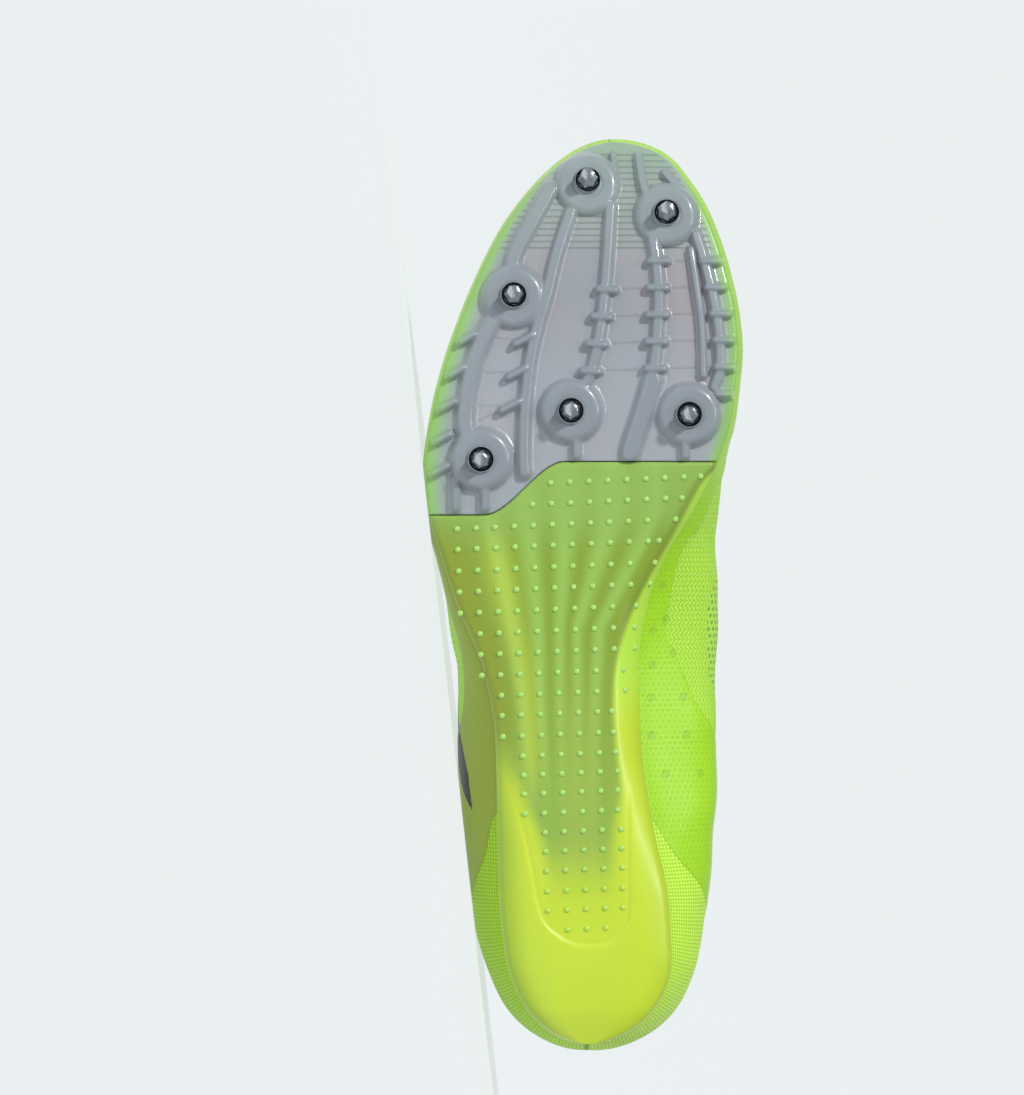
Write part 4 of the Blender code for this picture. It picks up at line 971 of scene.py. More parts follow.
def edge_round(edge, radius):
    """How far a rounded lower edge rises near the side."""
    near = np.clip(edge, 0, radius)
    return radius - np.sqrt(radius**2 - (radius - near) ** 2)


def bars():
    """The short cross bars: centre, half length and turn of each, by row."""
    made = []
    for route, count, length, turn in BARS:
        rows = np.linspace(0, len(route) - 1, count)
        half, turn = length * BALL_WIDTH / 2, math.radians(turn)
        places = zip(*(curve_through(column, rows) for column in columns(route)))
        made.append([(x * LENGTH, y * BALL_WIDTH, half, turn) for x, y in places])
    return made


def plate_relief(x, y):
    """How far ribs, bars, seats and fine lines stand out of the plate's web."""
    flat = np.column_stack([x, y])
    rise = np.zeros(len(x))
    for width, route in RIBS:
        half = width * BALL_WIDTH / 2
        away = distance_to_line(flat, rounded_line(route) * (LENGTH, BALL_WIDTH))
        rise = np.maximum(rise, RIB_HEIGHT * ease((1.18 * half - away) / (0.75 * half)))
    rows = bars()
    for row in rows:
        for *middle, half, turn in row:
            arm = np.array((-math.sin(turn), math.cos(turn))) * (half - BAR_RADIUS)
            away = distance_to_line(flat, [middle - arm, middle + arm])
            round_top = np.sqrt(np.clip(1 - (away / (1.25 * BAR_RADIUS)) ** 2, 0, 1))
            rise = np.maximum(rise, BAR_HEIGHT * round_top)
    # Fine lines join the bars of neighbouring rows, and others cross the toe
    clear = rise < 0.0003
    crossed = np.zeros(len(x))
    for left, right in ((rows[0], rows[1]), (rows[1], rows[2]), (rows[3], rows[4])):
        for a in left:
            b = min(right, key=lambda other: abs(other[0] - a[0]))
            if abs(a[0] - b[0]) < 0.012:
                away = distance_to_line(flat, [a[:2], b[:2]])
                crossed = np.maximum(crossed, np.where(clear, ease(1 - away / 0.0006), 0))
    rise -= 0.0002 * crossed
    lined = clear * (x > TOE_LINES[0] - TOE_LINE_PITCH / 2) * (x < TOE_LINES[1])
    lined = lined * ease((0.95 - edge_share(x, y)) / 0.04)
    for row in SPIKES:
        seat = spike_frame(*row)
        out, base = np.array(seat.col[2][:3]), np.array(seat.translation)
        tall = plate_web(x, y) - (base[2] - (BOSS_HEIGHT - out[0] * (x - base[0])) / -out[2])
        r = np.hypot(x - base[0], y - base[1])
        top = BOSS_TOP_RADIUS - 0.0006
        share = np.clip((r - top) / (BOSS_FOOT_RADIUS - top), 0, 1)
        near = r < BOSS_FOOT_RADIUS
        fall = np.where(near, np.sqrt(1 - share**2), 0) * 0.75 + 0.25 * ease(1 - share)
        groove = 0.00035 * bell(r - SPIKE_FLANGE_RADIUS - 0.0002, 0.0003)
        rise = np.maximum(rise, (tall - groove) * fall)
        lined, crossed = np.where(near, 0, lined), np.where(near, 0, crossed)
    return rise, lined, crossed


def dress_plate(material):
    """The spike plate with its ribs, bars, seats and fine toe lines in one fine skin."""
    stations = 1 - (1 - np.linspace(0, 1, 257)) ** 1.45
    x, y, edge = sole_lanes(
        lambda lane: seam_on_lane(lane, FIT_GAP / 2), lambda lane: SOLE_END, stations, crowded(193)
    )
    rise, lined, crossed = (a.reshape(x.shape) for a in plate_relief(x.ravel(), y.ravel()))
    rise = rise * ease(edge / 0.0012)
    low = plate_web(x, y) - rise + edge_round(edge, 0.0011)
    points, faces, picked = slab(x, y, low, sole_top(x, y))
    share = edge_share(x, y)
    clear = np.maximum(ease((share - 0.80) / 0.20), ease((x - 0.262) / 0.014))
    clear = np.maximum(clear, 0.6 * ease((x - 0.235) / 0.03)) * (1 - 0.55 * ease(rise / 0.0015))
    glow = ease((share - 0.88) / 0.12) * (1 - 0.8 * ease((x - 0.258) / 0.012)) * 0.8
    # The relief is the underside's alone, and the two tones go on over the top
    relief, tones = {"rise": rise, "lined": lined, "crossed": crossed}, {"clear": clear, "glow": glow}
    numbers = {}
    for kept, on_top in ((relief, 0), (tones, 1)):
        for key, values in kept.items():
            numbers[key] = np.concatenate([values.ravel(), on_top * values[picked].ravel()])
    make_piece("plate_skin", points, faces, [material], ("forefoot_plate",), numbers)


# Lines of the rear sole, in millimetres from the heel and across
STEP_LINE = (
    (300, -130), (200, -85), (130, -50), (100, -34.5), (90, -29), (82.3, -25), (70.1, -20.7), (59.1, -18),
    (41.8, -14.3), (35.4, -8.5), (32.9, -2.1), (33.5, 5.8), (38.7, 11), (43.9, 12.5), (59.1, 12.5), (80, 13),
    (95, 16), (125, 34), (200, 75), (300, 130),
)
CREASE_LINE = (
    (178, 39.5), (173.4, 34.7), (160, 27.4), (146.9, 20.1), (136.9, 14.9), (127.1, 11), (113.7, 8.2),
    (100, 8.0), (86, 9.5), (74, 12.0),
)
FAN_LINES = (
    ((165, -31), (160, -30), (129, -23), (107.6, -20), (80, -17)),
    ((165, -19), (160, -18), (129, -15), (107.6, -14.6), (80, -12.6)),
    ((165, -7.5), (160, -7), (129, -8.5), (107.6, -8.5), (80, -8.2)),
    ((165, 7), (160, 6), (129, -3.6), (107.6, -3), (80, -3.6)),
    ((165, 21), (160, 19), (129, 3.4), (107.6, 2), (80, 1.2)),
)
# Rows of dots: along, how many pitches the row reaches to the outer side, and where its inner end is
DOT_ROWS = (
    (174.0, 2, 34.3), (167.7, 3, 28.6), (161.3, 7, 26.7), (155.0, 7, 21.6), (148.4, 7, 20.4),
    (142.0, 7, 18.9), (135.5, 7, 14.6), (129.0, 6, 14.1), (122.6, 6, 14.2), (116.2, 6, 10.7),
    (109.9, 5, 11.1), (103.7, 5, 7.2),
    (97.3, 5, 7.7), (91.2, 4, 8.3), (85.4, 4, 9.0), (79.6, 4, 9.0), (73.6, 4, 9.0), (67.7, 3, 10.0),
    (61.9, 3, 10.2), (56.0, 3, 10.4), (49.8, 3, 10.5), (43.9, 3, 10.6), (37.9, 2, 5.4),
)
DOT_PITCH = 5.8
DOT_RADIUS = 0.00095
DOT_HEIGHT = 0.00062


def dot_places():
    """Centres of the raised dots."""
    places = []
    for along, outer, last in DOT_ROWS:
        first = 0.15 + (174 - along) * 0.0386
        steps = max(round((last - first) / DOT_PITCH), 0)
        for n in range(-outer, steps + 1):
            across = last if n == steps and steps else first + n * DOT_PITCH
            places.append((along + 0.045 * (across - first), across))
    return np.array(places) * MM


def rear_bottom(x, y):
    """The underside of the rear sole with its step line, crease and cupped flanks."""
    flat = np.column_stack([x, y]) / MM
    zone = inside_by(flat, rounded_line(STEP_LINE))
    crease = distance_to_line(flat, rounded_line(CREASE_LINE)) * MM
    step = 0.0005 * ease(0.5 - zone * MM / 0.0012) * ease((0.088 - x) / 0.03)
    lip = 0.00025 * bell(zone, 0.7) * ease((0.082 - x) / 0.02)
    ridge = 0.0003 * bell(crease, 0.0022) * ease((x - 0.080) / 0.02)
    return sole_bottom(x, y) - SKIN_STEP - step + lip - ridge


def rear_numbers(x, y):
    """Where the rear sole's colours lie: shares from 0 to 1."""
    flat = np.column_stack([x, y]) / MM
    along, across = flat.T
    share = edge_share(x, y)
    zone = inside_by(flat, rounded_line(STEP_LINE))
    crease_line = rounded_line(CREASE_LINE)
    crease_y = np.interp(along, crease_line[::-1, 0], crease_line[::-1, 1])

    # The fan of stripes, and the plain core along their middle
    lines = [np.interp(along, *[c[::-1] for c in columns(line)]) for line in FAN_LINES]
    turn = sum(np.clip((across - a) / (b - a), 0, 1) for a, b in zip(lines, lines[1:]))
    below, above = np.clip((lines[0] - across) / 7, 0, 0.5), np.clip((across - lines[-1]) / 7, 0, 0.5)
    fan = 0.5 + 0.5 * np.cos(2 * math.pi * (turn - below + above))
    fade = ease((along - 62) / 60)
    off_middle = np.abs(across + 2.4)
    core = ease((7.5 - off_middle) / 3.5) * ease((along - 48) / 8) * ease((128 - along) / 40)

    # The part inside the step line, whose border is softer at the heel and on the outer side
    outer_side = across < 0
    inset = 3.0 * ease((92 - along) / 30)
    soft = 3.0 + inset + 6.0 * outer_side * ease((along - 70) / 24) * ease((120 - along) / 20)
    inner_zone = ease((zone + 1.2 - inset) / soft) * ease((crease_y - across + 1.5) / 3.0)

    left = outer_side * ease((along - 70) / 24) * ease((168 - along) / 24)
    # Painted shade on the outer side's flank
    outer = ease((share - 0.70) / 0.24) * outer_side * ease((along - 84) / 22) * ease((166 - along) / 20)
    # Painted shade: darker towards the rounded edge, more so on the outer side
    rim = ease((share - 0.66) / 0.34) * ease((115 - along) / 30)
    return {
        "fan": fan * fade + (1 - fade) * 0.5,
        "core": core,
        "zone": inner_zone * ease((along - 42) / 26),
        "glow": 0.45 * bell(zone, 3.2) * ease((92 - along) / 14) + 0.4 * bell(share - 0.62, 0.12) * left,
        "front": ease((along - 150) / 18) * 0.75,
        # Painted light: the inner flank beyond the crease is lighter
        "lit_flank": ease((across - crease_y + 0.6) / 1.6) * ease((along - 96) / 24),
        # Painted shade: a darker band along the crease
        "crease": 0.7 * bell(crease_y - across - 1.2, 1.3) * ease((along - 118) / 20),
        "rim": rim * (0.25 + 0.55 * ease((6 - across) / 12)),
        "outer": outer * 0.9,
        "dot": np.zeros(len(x)),
    }


def dome(centre):
    """A low round dot under the sole, as points and faces."""
    turns = np.linspace(-0.35, math.pi / 2, 5)
    profile = [(math.cos(a) * DOT_RADIUS, math.sin(a) * DOT_HEIGHT) for a in turns]
    profile[-1] = (0, profile[-1][1])
    points, faces = turned(profile, 14)
    return points * (1, 1, -1) + centre, faces


def dress_rear_sole(material):
    """The rear sole with its step line, crease and raised dots."""
    even = np.linspace(0, 1, 289)
    stations = 0.82 * even**1.25 + 0.18 * even
    x, y, edge = sole_lanes(
        lambda lane: SOLE_START, lambda lane: seam_on_lane(lane, -FIT_GAP / 2), stations, crowded(129)
    )
    low = rear_bottom(x.ravel(), y.ravel()).reshape(x.shape) + edge_round(edge, 0.0022)
    low = low + edge_round(0.17 * (stations[-1] - stations)[:, None], 0.0004)
    points, faces, picked = slab(x, y, low, sole_top(x, y))
    count = len(points)
    places = dot_places()
    feet = np.column_stack([places, rear_bottom(*places.T)])
    points, faces = joined([(points, faces), *(dome(foot) for foot in feet)])
    on_skin, on_dots = rear_numbers(x.ravel(), y.ravel()), rear_numbers(*points[count:, :2].T)
    on_dots["dot"] = 0.4 + 0.6 * ease((points[count:, 0] / MM - 44) / 30)
    numbers = {}
    for key, values in on_skin.items():
        numbers[key] = np.concatenate([values, values.reshape(x.shape)[picked].ravel(), on_dots[key]])
    make_piece("rear_sole_skin", points, faces, [material], ("rear_sole",), numbers)


# The upper

UPPER_STEPS = 60
# Panels seen from the side, in millimetres from the heel and up
WING = (
    (176, 2), (177, 10.3), (152, 13.6), (138.4, 16.5), (128.4, 17.6), (118, 20.5), (107, 22.3), (99, 26),
    (89, 35), (80, 46), (72, 57), (66, 70), (28, 74), (33, 48), (42.7, 29), (56.5, 15.5), (72, 10), (76, 2),
)
BRIGHT = (
    (185, 2), (178, 26), (159, 31), (138, 25), (125, 27), (107, 31), (98, 44), (90, 60), (86, 90), (20, 90),
    (-10, 40), (0, 2),
)
HEEL_KNIT = ((80, 2), (72, 10), (56.5, 15.5), (42.7, 29), (33, 48), (28, 95), (-12, 95), (-12, 2))
WEDGE = ((72, 17.4), (84, 19.6), (121, 38.5), (113, 47.5))
SPOTS = (
    (118, 16.2), (106.9, 15.4), (95.4, 14.7), (106.9, 20.3), (95.4, 20.2), (128.4, 15.2), (141.8, 13.3),
    (131.7, 17.4), (121.5, 19.6), (84, 15.5), (84, 22),
)
SPOT_RADIUS = 0.0015
STAY_WIDTH = 0.0135  # the smooth strip along the lacing
OUTSIDE = 0.05  # stands for anywhere far from a panel
# Creases over the toes: where they cross, how deep they are and how they lean
CREASES = ((0.176, 0.0007, 0.10), (0.187, 0.0009, 0.04), (0.198, 0.0008, -0.05))
LACING_REAR = LAST_EYELET * LENGTH
COLLAR_FRONT = LACING_REAR - 0.004
STITCH_LENGTH = 0.0019
STITCH_PITCH = 0.0026


def upper_rows(count):
    """Fractional rows of UPPER at which sections are taken, and the last one that borders the opening."""
    end = row_at(THROAT_FRONT * LENGTH, THROAT_ROWS[0], len(UPPER) - 1, 2000)
    rear, closing, closed = round(count * 0.58), round(count * 0.10), round(count * 0.32)
    rows = list(np.linspace(0, end - 0.9, rear, endpoint=False))
    rows += [end - 0.9 * math.cos(a) for a in np.linspace(0, math.pi / 2, closing)]
    return rows + list(np.linspace(end, len(UPPER) - 1, closed))[1:], len(rows) - 1


def upper_sheet(count):
    """The upper's outer face as a sheet that runs up both sides and is joined at heel and toe."""
    rows, last_open = upper_rows(count)
    sections = np.array([[upper_section(row, side, UPPER_STEPS) for row in rows] for side in (1, -1)])
    number = np.arange(sections[..., 0].size).reshape(sections.shape[:3])
    number[1, (0, -1)] = number[0, (0, -1)]
    number[1, last_open:, -1] = number[0, last_open:, -1]
    quads = np.vstack([grid_faces(number[0])[:, [0, 3, 2, 1]], grid_faces(number[1])[:, [1, 2, 3, 0]]])
    return sections.reshape(-1, 3), quads, number, sections, last_open


def sheet_normals(points, quads):
    """Outward normals of a sheet's points."""
    normals = np.zeros_like(points)
    a, b, c, d = (points[quads[:, k]] for k in range(4))
    facing = np.cross(c - a, d - b)
    for k in range(4):
        np.add.at(normals, quads[:, k], facing)
    return unit(normals)


def first_past(sections, x):
    """The first section whose top edge lies past a place along the shoe."""
    return int(np.argmax(sections[0, :, -1, 0] > x))


def upper_numbers(points, sections, last_open):
    """What the upper's materials and relief need to know at each point, and how far up it lies."""
    shape = sections.shape[:3]
    up = run_length(sections, axis=2).ravel()
    along = run_length(sections[:, :, UPPER_STEPS // 3], axis=1)
    along = np.broadcast_to(along[:, :, None], shape).ravel()
    side = np.broadcast_to(np.array([1, -1])[:, None, None], shape).ravel()
    x, flat = points[:, 0], points[:, [0, 2]] / MM
    rims = np.vstack([sections[0, : last_open + 1, -1], sections[1, last_open::-1, -1]])
    rear = first_past(sections, LACING_REAR - 0.006)
    throat = np.vstack([sections[0, rear : last_open + 1, -1], sections[1, last_open:rear:-1, -1]])
    wing, bright = (inside_by(flat, rounded_line(border, 4)) * MM for border in (WING, BRIGHT))
    heel, wedge = (inside_by(flat, border) * MM for border in (HEEL_KNIT, WEDGE))
    toe_guard = np.minimum(0.0085 + 0.010 * ease((x - 0.235) / 0.03) - up, x - 0.158)
    spots = np.full(len(points), OUTSIDE)
    for spot in SPOTS:
        middle = np.argmin(np.linalg.norm(flat - spot, axis=1) + 1000 * (side < 0))
        spots = np.minimum(spots, np.linalg.norm(points - points[middle], axis=1) - SPOT_RADIUS)
    return {
        "cloth": np.column_stack([along * side, up, side]),
        "film": np.maximum(wing, toe_guard),
        "stay": STAY_WIDTH - distance_to_line(points, throat[::2]),
        "mesh": -bright,
        "heel": heel,
        "wedge": np.where(side < 0, wedge, -OUTSIDE),
        "spot": np.where((side > 0) & (points[:, 2] > 0.001), spots, OUTSIDE),
        "rim": distance_to_line(points, rims[::3]),
    }, up


def upper_relief(points, numbers, up):
    """How far the upper's face stands out of its smooth form."""
    x, z, rim = points[:, 0], points[:, 2], numbers["rim"]
    panels = (("film", 0.0003), ("stay", 0.00035), ("wedge", 0.0002))
    out = sum(height * ease(numbers[name] / 0.0008 + 0.5) for name, height in panels)
    out += 0.0013 * ease((LACING_REAR - 0.012 - x) / 0.02) * bell(rim - 0.009, 0.006)
    crown = ease((up - 0.010) / 0.012)
    creased = crown * ease((rim - 0.004) / 0.012)
    for at, depth, lean in CREASES:
        line = x - at - lean * (z - 0.03) - 0.0015 * np.sin(z * 160)
        out += depth * creased * (0.5 * bell(line - 0.0045, 0.003) - bell(line, 0.0026))
    soft = np.sin(x * 210 + z * 90) * np.sin(z * 170 - x * 60)
    out += 0.00035 * soft * crown * ease((rim - 0.004) / 0.015) * ease((0.15 - x) / 0.03)
    heel_seam = np.abs(points[:, 1]) + OUTSIDE * (x > 0.02)
    return out - 0.0009 * bell(heel_seam, 0.0011) * ease((0.030 - z) / 0.012)


def punch(points, quads, eyelets):
    """Takes the faces inside the eyelets away and pulls the borders of the holes onto circles."""
    middles = points[quads].mean(1)
    gone = np.zeros(len(quads), bool)
    for centre, _ in eyelets:
        gone |= np.linalg.norm(middles - centre, axis=1) < EYELET_RADIUS
    kept = quads[~gone]
    border = np.intersect1d(kept, quads[gone])
    for centre, axis in eyelets:
        own = border[np.linalg.norm(points[border] - centre, axis=1) < 2 * EYELET_RADIUS]
        away = points[own] - centre
        deep = (away @ axis)[:, None] * axis
        points[own] = centre + unit(away - deep) * EYELET_RADIUS + deep
    return kept


def border_pairs(kept):
    """Edges of a sheet that belong to one face only, with their direction."""
    edges = np.vstack([kept[:, [k, (k + 1) % 4]] for k in range(4)])
    edges = edges[edges[:, 0] != edges[:, 1]]
    size = int(edges.max()) + 1
    key = edges.min(1) * size + edges.max(1)
    _, first, count = np.unique(key, return_index=True, return_counts=True)
    return edges[first[count == 1]]


def dress_upper(outside, lining):
    """The upper as one thin shell with a lining, rolled edges and punched eyelets."""
    points, quads, number, sections, last_open = upper_sheet(270)
    numbers, up = upper_numbers(points, sections, last_open)
    normals = sheet_normals(points, quads)
    places = [*eyelet_places(1), *eyelet_places(-1)]
    eyelets = [(np.array((*place, cone_height(*place))), np.array(cone_normal(*place))) for place in places]
    outer = points + normals * upper_relief(points, numbers, up)[:, None]
    inner = points - normals * WALL
    foot = np.unique(number[:, :, 0])
    inner[foot, 2] = sole_top(inner[foot, 0], inner[foot, 1]) + FIT_GAP
    outer[foot] = points[foot]
    kept = punch(outer, quads, eyelets)
    for centre, axis in eyelets:
        near = np.linalg.norm(points - centre, axis=1) < 2 * EYELET_RADIUS
        away = outer - centre
        from_axis = np.linalg.norm(away - (away @ axis)[:, None] * axis, axis=1)
        moved = near & (np.abs(from_axis - EYELET_RADIUS) < 1e-7)
        inner[moved] = outer[moved] - axis * (WALL + 0.0003)

    # Walls close the borders over two more points between the outer face and the lining
    edges = border_pairs(kept)
    rim = np.unique(edges)
    shares = np.array([[0.35], [0.65]])
    between_faces = outer[rim][:, None] * (1 - shares) + inner[rim][:, None] * shares
    shift = len(points)
    first = 2 * shift + 2 * np.arange(len(rim))
    chains = np.column_stack([rim, first, first + 1, rim + shift])
    a, b = (chains[np.searchsorted(rim, ends)] for ends in edges.T)
    walls = np.stack([b[:, :-1], a[:, :-1], a[:, 1:], b[:, 1:]], axis=-1).reshape(-1, 4)
    faces = np.vstack([kept, kept[:, ::-1] + shift, walls]).tolist()
    faces = [[corner for n, corner in enumerate(face) if corner != face[n - 1]] for face in faces]
    slots = [0] * len(kept) + [1] * len(kept) + [0] * len(walls)
    points = np.vstack([outer, inner, between_faces.reshape(-1, 3)])
    numbers = {key: np.concatenate([v, v, np.repeat(v[rim], 2, axis=0)]) for key, v in numbers.items()}
    make_piece("upper_cloth", points, faces, [outside, lining], ("upper",), numbers, slots)
    return sections, last_open, outer, number


def dress_binding(material, sections, outer, number):
    """The tape that binds the collar from the top eyelets round the heel."""
    stop = first_past(sections, COLLAR_FRONT)
    rim, low = (outer[np.concatenate([number[0, stop:0:-1, k], number[1, : stop + 1, k]])] for k in (-1, -4))
    up = unit(rim - low)
    side = unit(np.cross(np.gradient(rim, axis=0), up))
    middle = np.column_stack([np.full(len(rim), 0.075), centre_line(rim[:, 0]), rim[:, 2]])
    side *= np.sign(np.einsum("ij,ij->i", side, rim - middle))[:, None]
    path = rim - side * WALL / 2 - up * 0.0016
    section = oval(0.00135, 0.0026, 14, 2.6)
    points, faces = tube(path, side, up, [section] * len(path))
    turn = np.linspace(0, 0.012, len(section), endpoint=False)
    length = np.repeat(run_length(path), len(section))
    cloth = np.column_stack([length, np.tile(turn, len(path)), np.zeros(len(points))])
    make_piece("collar_binding", points, faces, [material], (), {"cloth": cloth})


def stitch(a, b):
    """One short thread between two points, sunk at both ends."""
    ahead = unit(b - a)
    middle = (a + b) / 2
    out = np.array((0, middle[1] - float(centre_line(middle[0])), middle[2] - 0.03))
    out = unit(out - ahead * (out @ ahead))
    sizes = np.array([[0.15], [0.8], [1.0], [0.8], [0.15]])
    path = a + (b - a) * np.linspace(0, 1, len(sizes))[:, None] + out * (0.00012 + 0.00022 * sizes)
    rings = [oval(0.0003 * size, 0.00026 * size, 6) for size in sizes[:, 0]]
    return tube(path, np.cross(ahead, out)[None], out[None], rings)


def dress_stitches(material, sections, last_open, outer, number):
    """Sewn thread along the lacing's edge and under the collar binding."""
    rear = first_past(sections, COLLAR_FRONT)
    stitches = []
    for grid in number:
        for ids in (grid[rear : last_open - 4, -3], grid[rear : last_open - 4, -15], grid[:rear, -6]):
            line = outer[ids]
            length = run_length(line)
            for at in np.arange(0.001, length[-1] - 0.003, STITCH_PITCH):
                ends = (at, at + STITCH_LENGTH)
                stitches.append(stitch(*np.column_stack([np.interp(ends, length, axis) for axis in line.T])))
    points, faces = joined(stitches)
    make_piece("stitches", points, faces, [material])


# Insole, tongue and lace

RING = 16  # points round the lace
DIVE_REACH = 0.0022  # over this length the lace turns down into an eyelet
DIVE_DEPTH = 0.0034


def dress_insole(material):
    """The insole: a thin cushioned sheet inside the foot of the upper."""
    rows = np.linspace(0, len(UPPER) - 1, 150)
    spine_x = curve_through(columns(UPPER)[0], rows) * LENGTH
    spine = np.column_stack([spine_x, centre_line(spine_x)])
    foot = np.array([[upper_section(row, side, 4)[0, :2] for row in rows] for side in (1, -1)])
    away = foot - unit(foot - spine) * (WALL + INSOLE_CLEARANCE) - spine
    shares = np.concatenate([[1.0, 1.0], 1 - np.linspace(0, 1, 16)[1:] ** 1.2])
    crown = INSOLE_THICKNESS - 0.0009 * ease(1 - (1 - shares) / 0.06)
    crown[0] = 0
    flat = spine[:, None] + away[:, :, None] * shares[:, None]
    height = sole_top(flat[..., 0], flat[..., 1]) + FIT_GAP + crown
    points = np.concatenate([flat, height[..., None]], axis=-1).reshape(-1, 3)
    number = np.arange(height.size).reshape(height.shape)
    spine_below = len(points) + np.arange(len(rows))
    grids = [*number, *(np.column_stack([grid[:, 0], spine_below]) for grid in number)]
    faces = np.vstack([grid_faces(grid) for grid in grids]).tolist()
    points = np.vstack([points, points[number[0, :, -1]] - (0, 0, INSOLE_THICKNESS)])
    piece = make_piece("insole_cloth", points, faces, [material], ("insole",), {"cloth": points})


def tongue_path():
    """The tongue's rows, as points across it, from its front edge to the free end."""
    lanes = np.linspace(-1, 1, 33)
    stations = np.linspace(TONGUE_FRONT, LAST_EYELET, 46) * LENGTH
    drop = WALL + TONGUE_DROP
    rows = []
    for x in stations:
        half = TONGUE_HALF_WIDTH * (0.80 + 0.20 * ease((stations[0] - x) / TONGUE_WIDENS))
        places = [(x, float(centre_line(x)) + lane * half) for lane in lanes[::4]]
        coarse = np.array([Vector((*p, cone_height(*p))) - cone_normal(*p) * drop for p in places])
        fine = np.linspace(0, len(coarse) - 1, len(lanes))
        rows.append(np.column_stack([curve_through(column, fine) for column in coarse.T]))
    middle_lane = len(lanes) // 2
    heading = unit(rows[-1][middle_lane] - rows[-4][middle_lane])
    at = rows[-1]
    middle_y = at[middle_lane, 1]
    shares = np.linspace(0, 1, 15)
    for before, share in zip(shares, shares[1:]):
        turn = math.radians(TONGUE_TIP_BEND) * (before + share) / 2
        ahead = unit(np.array((heading[0] * math.cos(turn), 0, heading[2] - heading[0] * math.sin(turn))))
        at = at + ahead * TONGUE_TIP_RISE * (share - before)
        narrow = 0.72 + 0.28 * float(round_end((1.0 - share) / 0.3))
        row = at.copy()
        row[:, 1] = middle_y + (row[:, 1] - middle_y) * narrow
        rows.append(row)
    return np.array(rows)


def dress_tongue(material):
    """The tongue: a thin pad with a bound edge and two sewn channels."""
    grid = tongue_path()
    points = grid.reshape(-1, 3)
    ids = np.arange(len(points)).reshape(grid.shape[:2])
    quads = grid_faces(ids)
    normals = sheet_normals(points, quads)
    normals *= np.sign(normals[:, 2].mean())
    middle_lane = grid.shape[1] // 2
    along = np.broadcast_to(run_length(grid[:, middle_lane])[:, None], ids.shape)
    across = run_length(grid, axis=1)
    across = across - across[:, [middle_lane]]
    beside = np.abs(across)
    to_edge = np.minimum(beside.max(1, keepdims=True) - beside, np.minimum(along[-1] - along, along + 0.001))
    covered = ease((along - 0.030) / 0.02)
    pad = 0.0009 * ease((to_edge - 0.004) / 0.006) - 0.0007 * bell(beside - 0.0085, 0.0012)
    pad = pad * covered
    free = ease((along - (along[-1] - TONGUE_TIP_RISE - 0.002)) / 0.008)
    thin = TONGUE_THICKNESS * (0.62 + 0.38 * ease(to_edge / 0.004))
    top = points + normals * (pad * (0.15 + 0.85 * free)).reshape(-1, 1)
    low = points - normals * (thin + 0.6 * pad * free).reshape(-1, 1)

    # A rounded edge joins the two faces
    border = np.concatenate([ids[:, 0], ids[-1, 1:], ids[-2::-1, -1], ids[0, -2:0:-1]])
    ahead = np.roll(points[border], -1, axis=0) - np.roll(points[border], 1, axis=0)
    away = unit(np.cross(ahead, normals[border]))
    away *= np.sign(np.einsum("ij,ij->i", away, points[border] - points.mean(0)))[:, None]
    edge = (top[border] + low[border]) / 2 + away * 0.0006
    shift = len(points)
    rim = np.column_stack([border, 2 * shift + np.arange(len(border)), border + shift])
    faces = np.vstack([quads, quads[:, ::-1] + shift, grid_faces(np.vstack([rim, rim[:1]]))]).tolist()
    cloth = np.stack([along, across, to_edge], axis=-1).reshape(-1, 3)
    numbers = {"cloth": cloth, "bound": 0.0032 - to_edge.ravel()}
    numbers = {key: np.concatenate([v, v, v[border]]) for key, v in numbers.items()}
    points = np.vstack([top, low, edge])
    piece = make_piece("tongue_cloth", points, faces, [material], ("tongue",), numbers)


def dive(length):
    """How far the lace has turned down at a length from its eyelet, from 1 to 0."""
    return np.clip(1 - length / DIVE_REACH, 0, None) ** 2


def lace_path(start, stop, over, front):
    """One run of lace: from under the near edge, over the tongue and down into the far eyelet."""
    start, stop = np.array(start), np.array(stop)
    reach = np.linalg.norm(stop - start)
    shares = np.concatenate([np.linspace(0, 0.94, 34), np.linspace(0.95, 1.0, 9)])
    length = shares * reach
    above, under = LACE_LIFT + 0.0002, -WALL - 0.0007
    if front:
        height = above - DIVE_DEPTH * dive(length)
    else:
        height = under + (above - under) * ease((length / EYELET_MARGIN - 0.75) / 0.9)
    height += (0.0008 if over else -0.0006) * bell(shares - 0.5, 0.10)
    height -= DIVE_DEPTH * dive(reach - length)
    places = start + (stop - start) * shares[:, None]
    normals = np.array([cone_normal(*place) for place in places])
    path = np.column_stack([places, [cone_height(*place) for place in places]]) + normals * height[:, None]
    return path, normals, length, reach


def dress_laces(material):
    """The flat woven lace, crossed through the eyelets."""
    inner, outer = eyelet_places(1), eyelet_places(-1)
    runs = [lace_path(outer[0], inner[0], False, True)]
    for n in range(EYELET_ROWS - 1):
        runs.append(lace_path(outer[n], inner[n + 1], False, False))
        runs.append(lace_path(inner[n], outer[n + 1], True, False))
    parts, cloth = [], []
    for path, normals, length, reach in runs:
        ahead = unit(np.gradient(path, axis=0))
        side = unit(np.cross(normals, ahead))
        widths = 0.58 + 0.42 * ease(np.minimum(length, reach - length) / 0.009)
        sizes = zip(LACE_WIDTH / 2 * widths, LACE_THICKNESS / 2 * (1.25 - 0.25 * widths))
        rings = np.array([oval(*size, RING, 3.2) for size in sizes])
        parts.append(tube(path, side, np.cross(ahead, side), rings))
        across = rings[..., 0].ravel()
        cloth.append(np.column_stack([np.repeat(length, RING), across, np.zeros(len(across))]))
    points, faces = joined(parts)
    make_piece("lace_weave", points, faces, [material], ("laces",), {"cloth": np.vstack(cloth)})


# Spikes

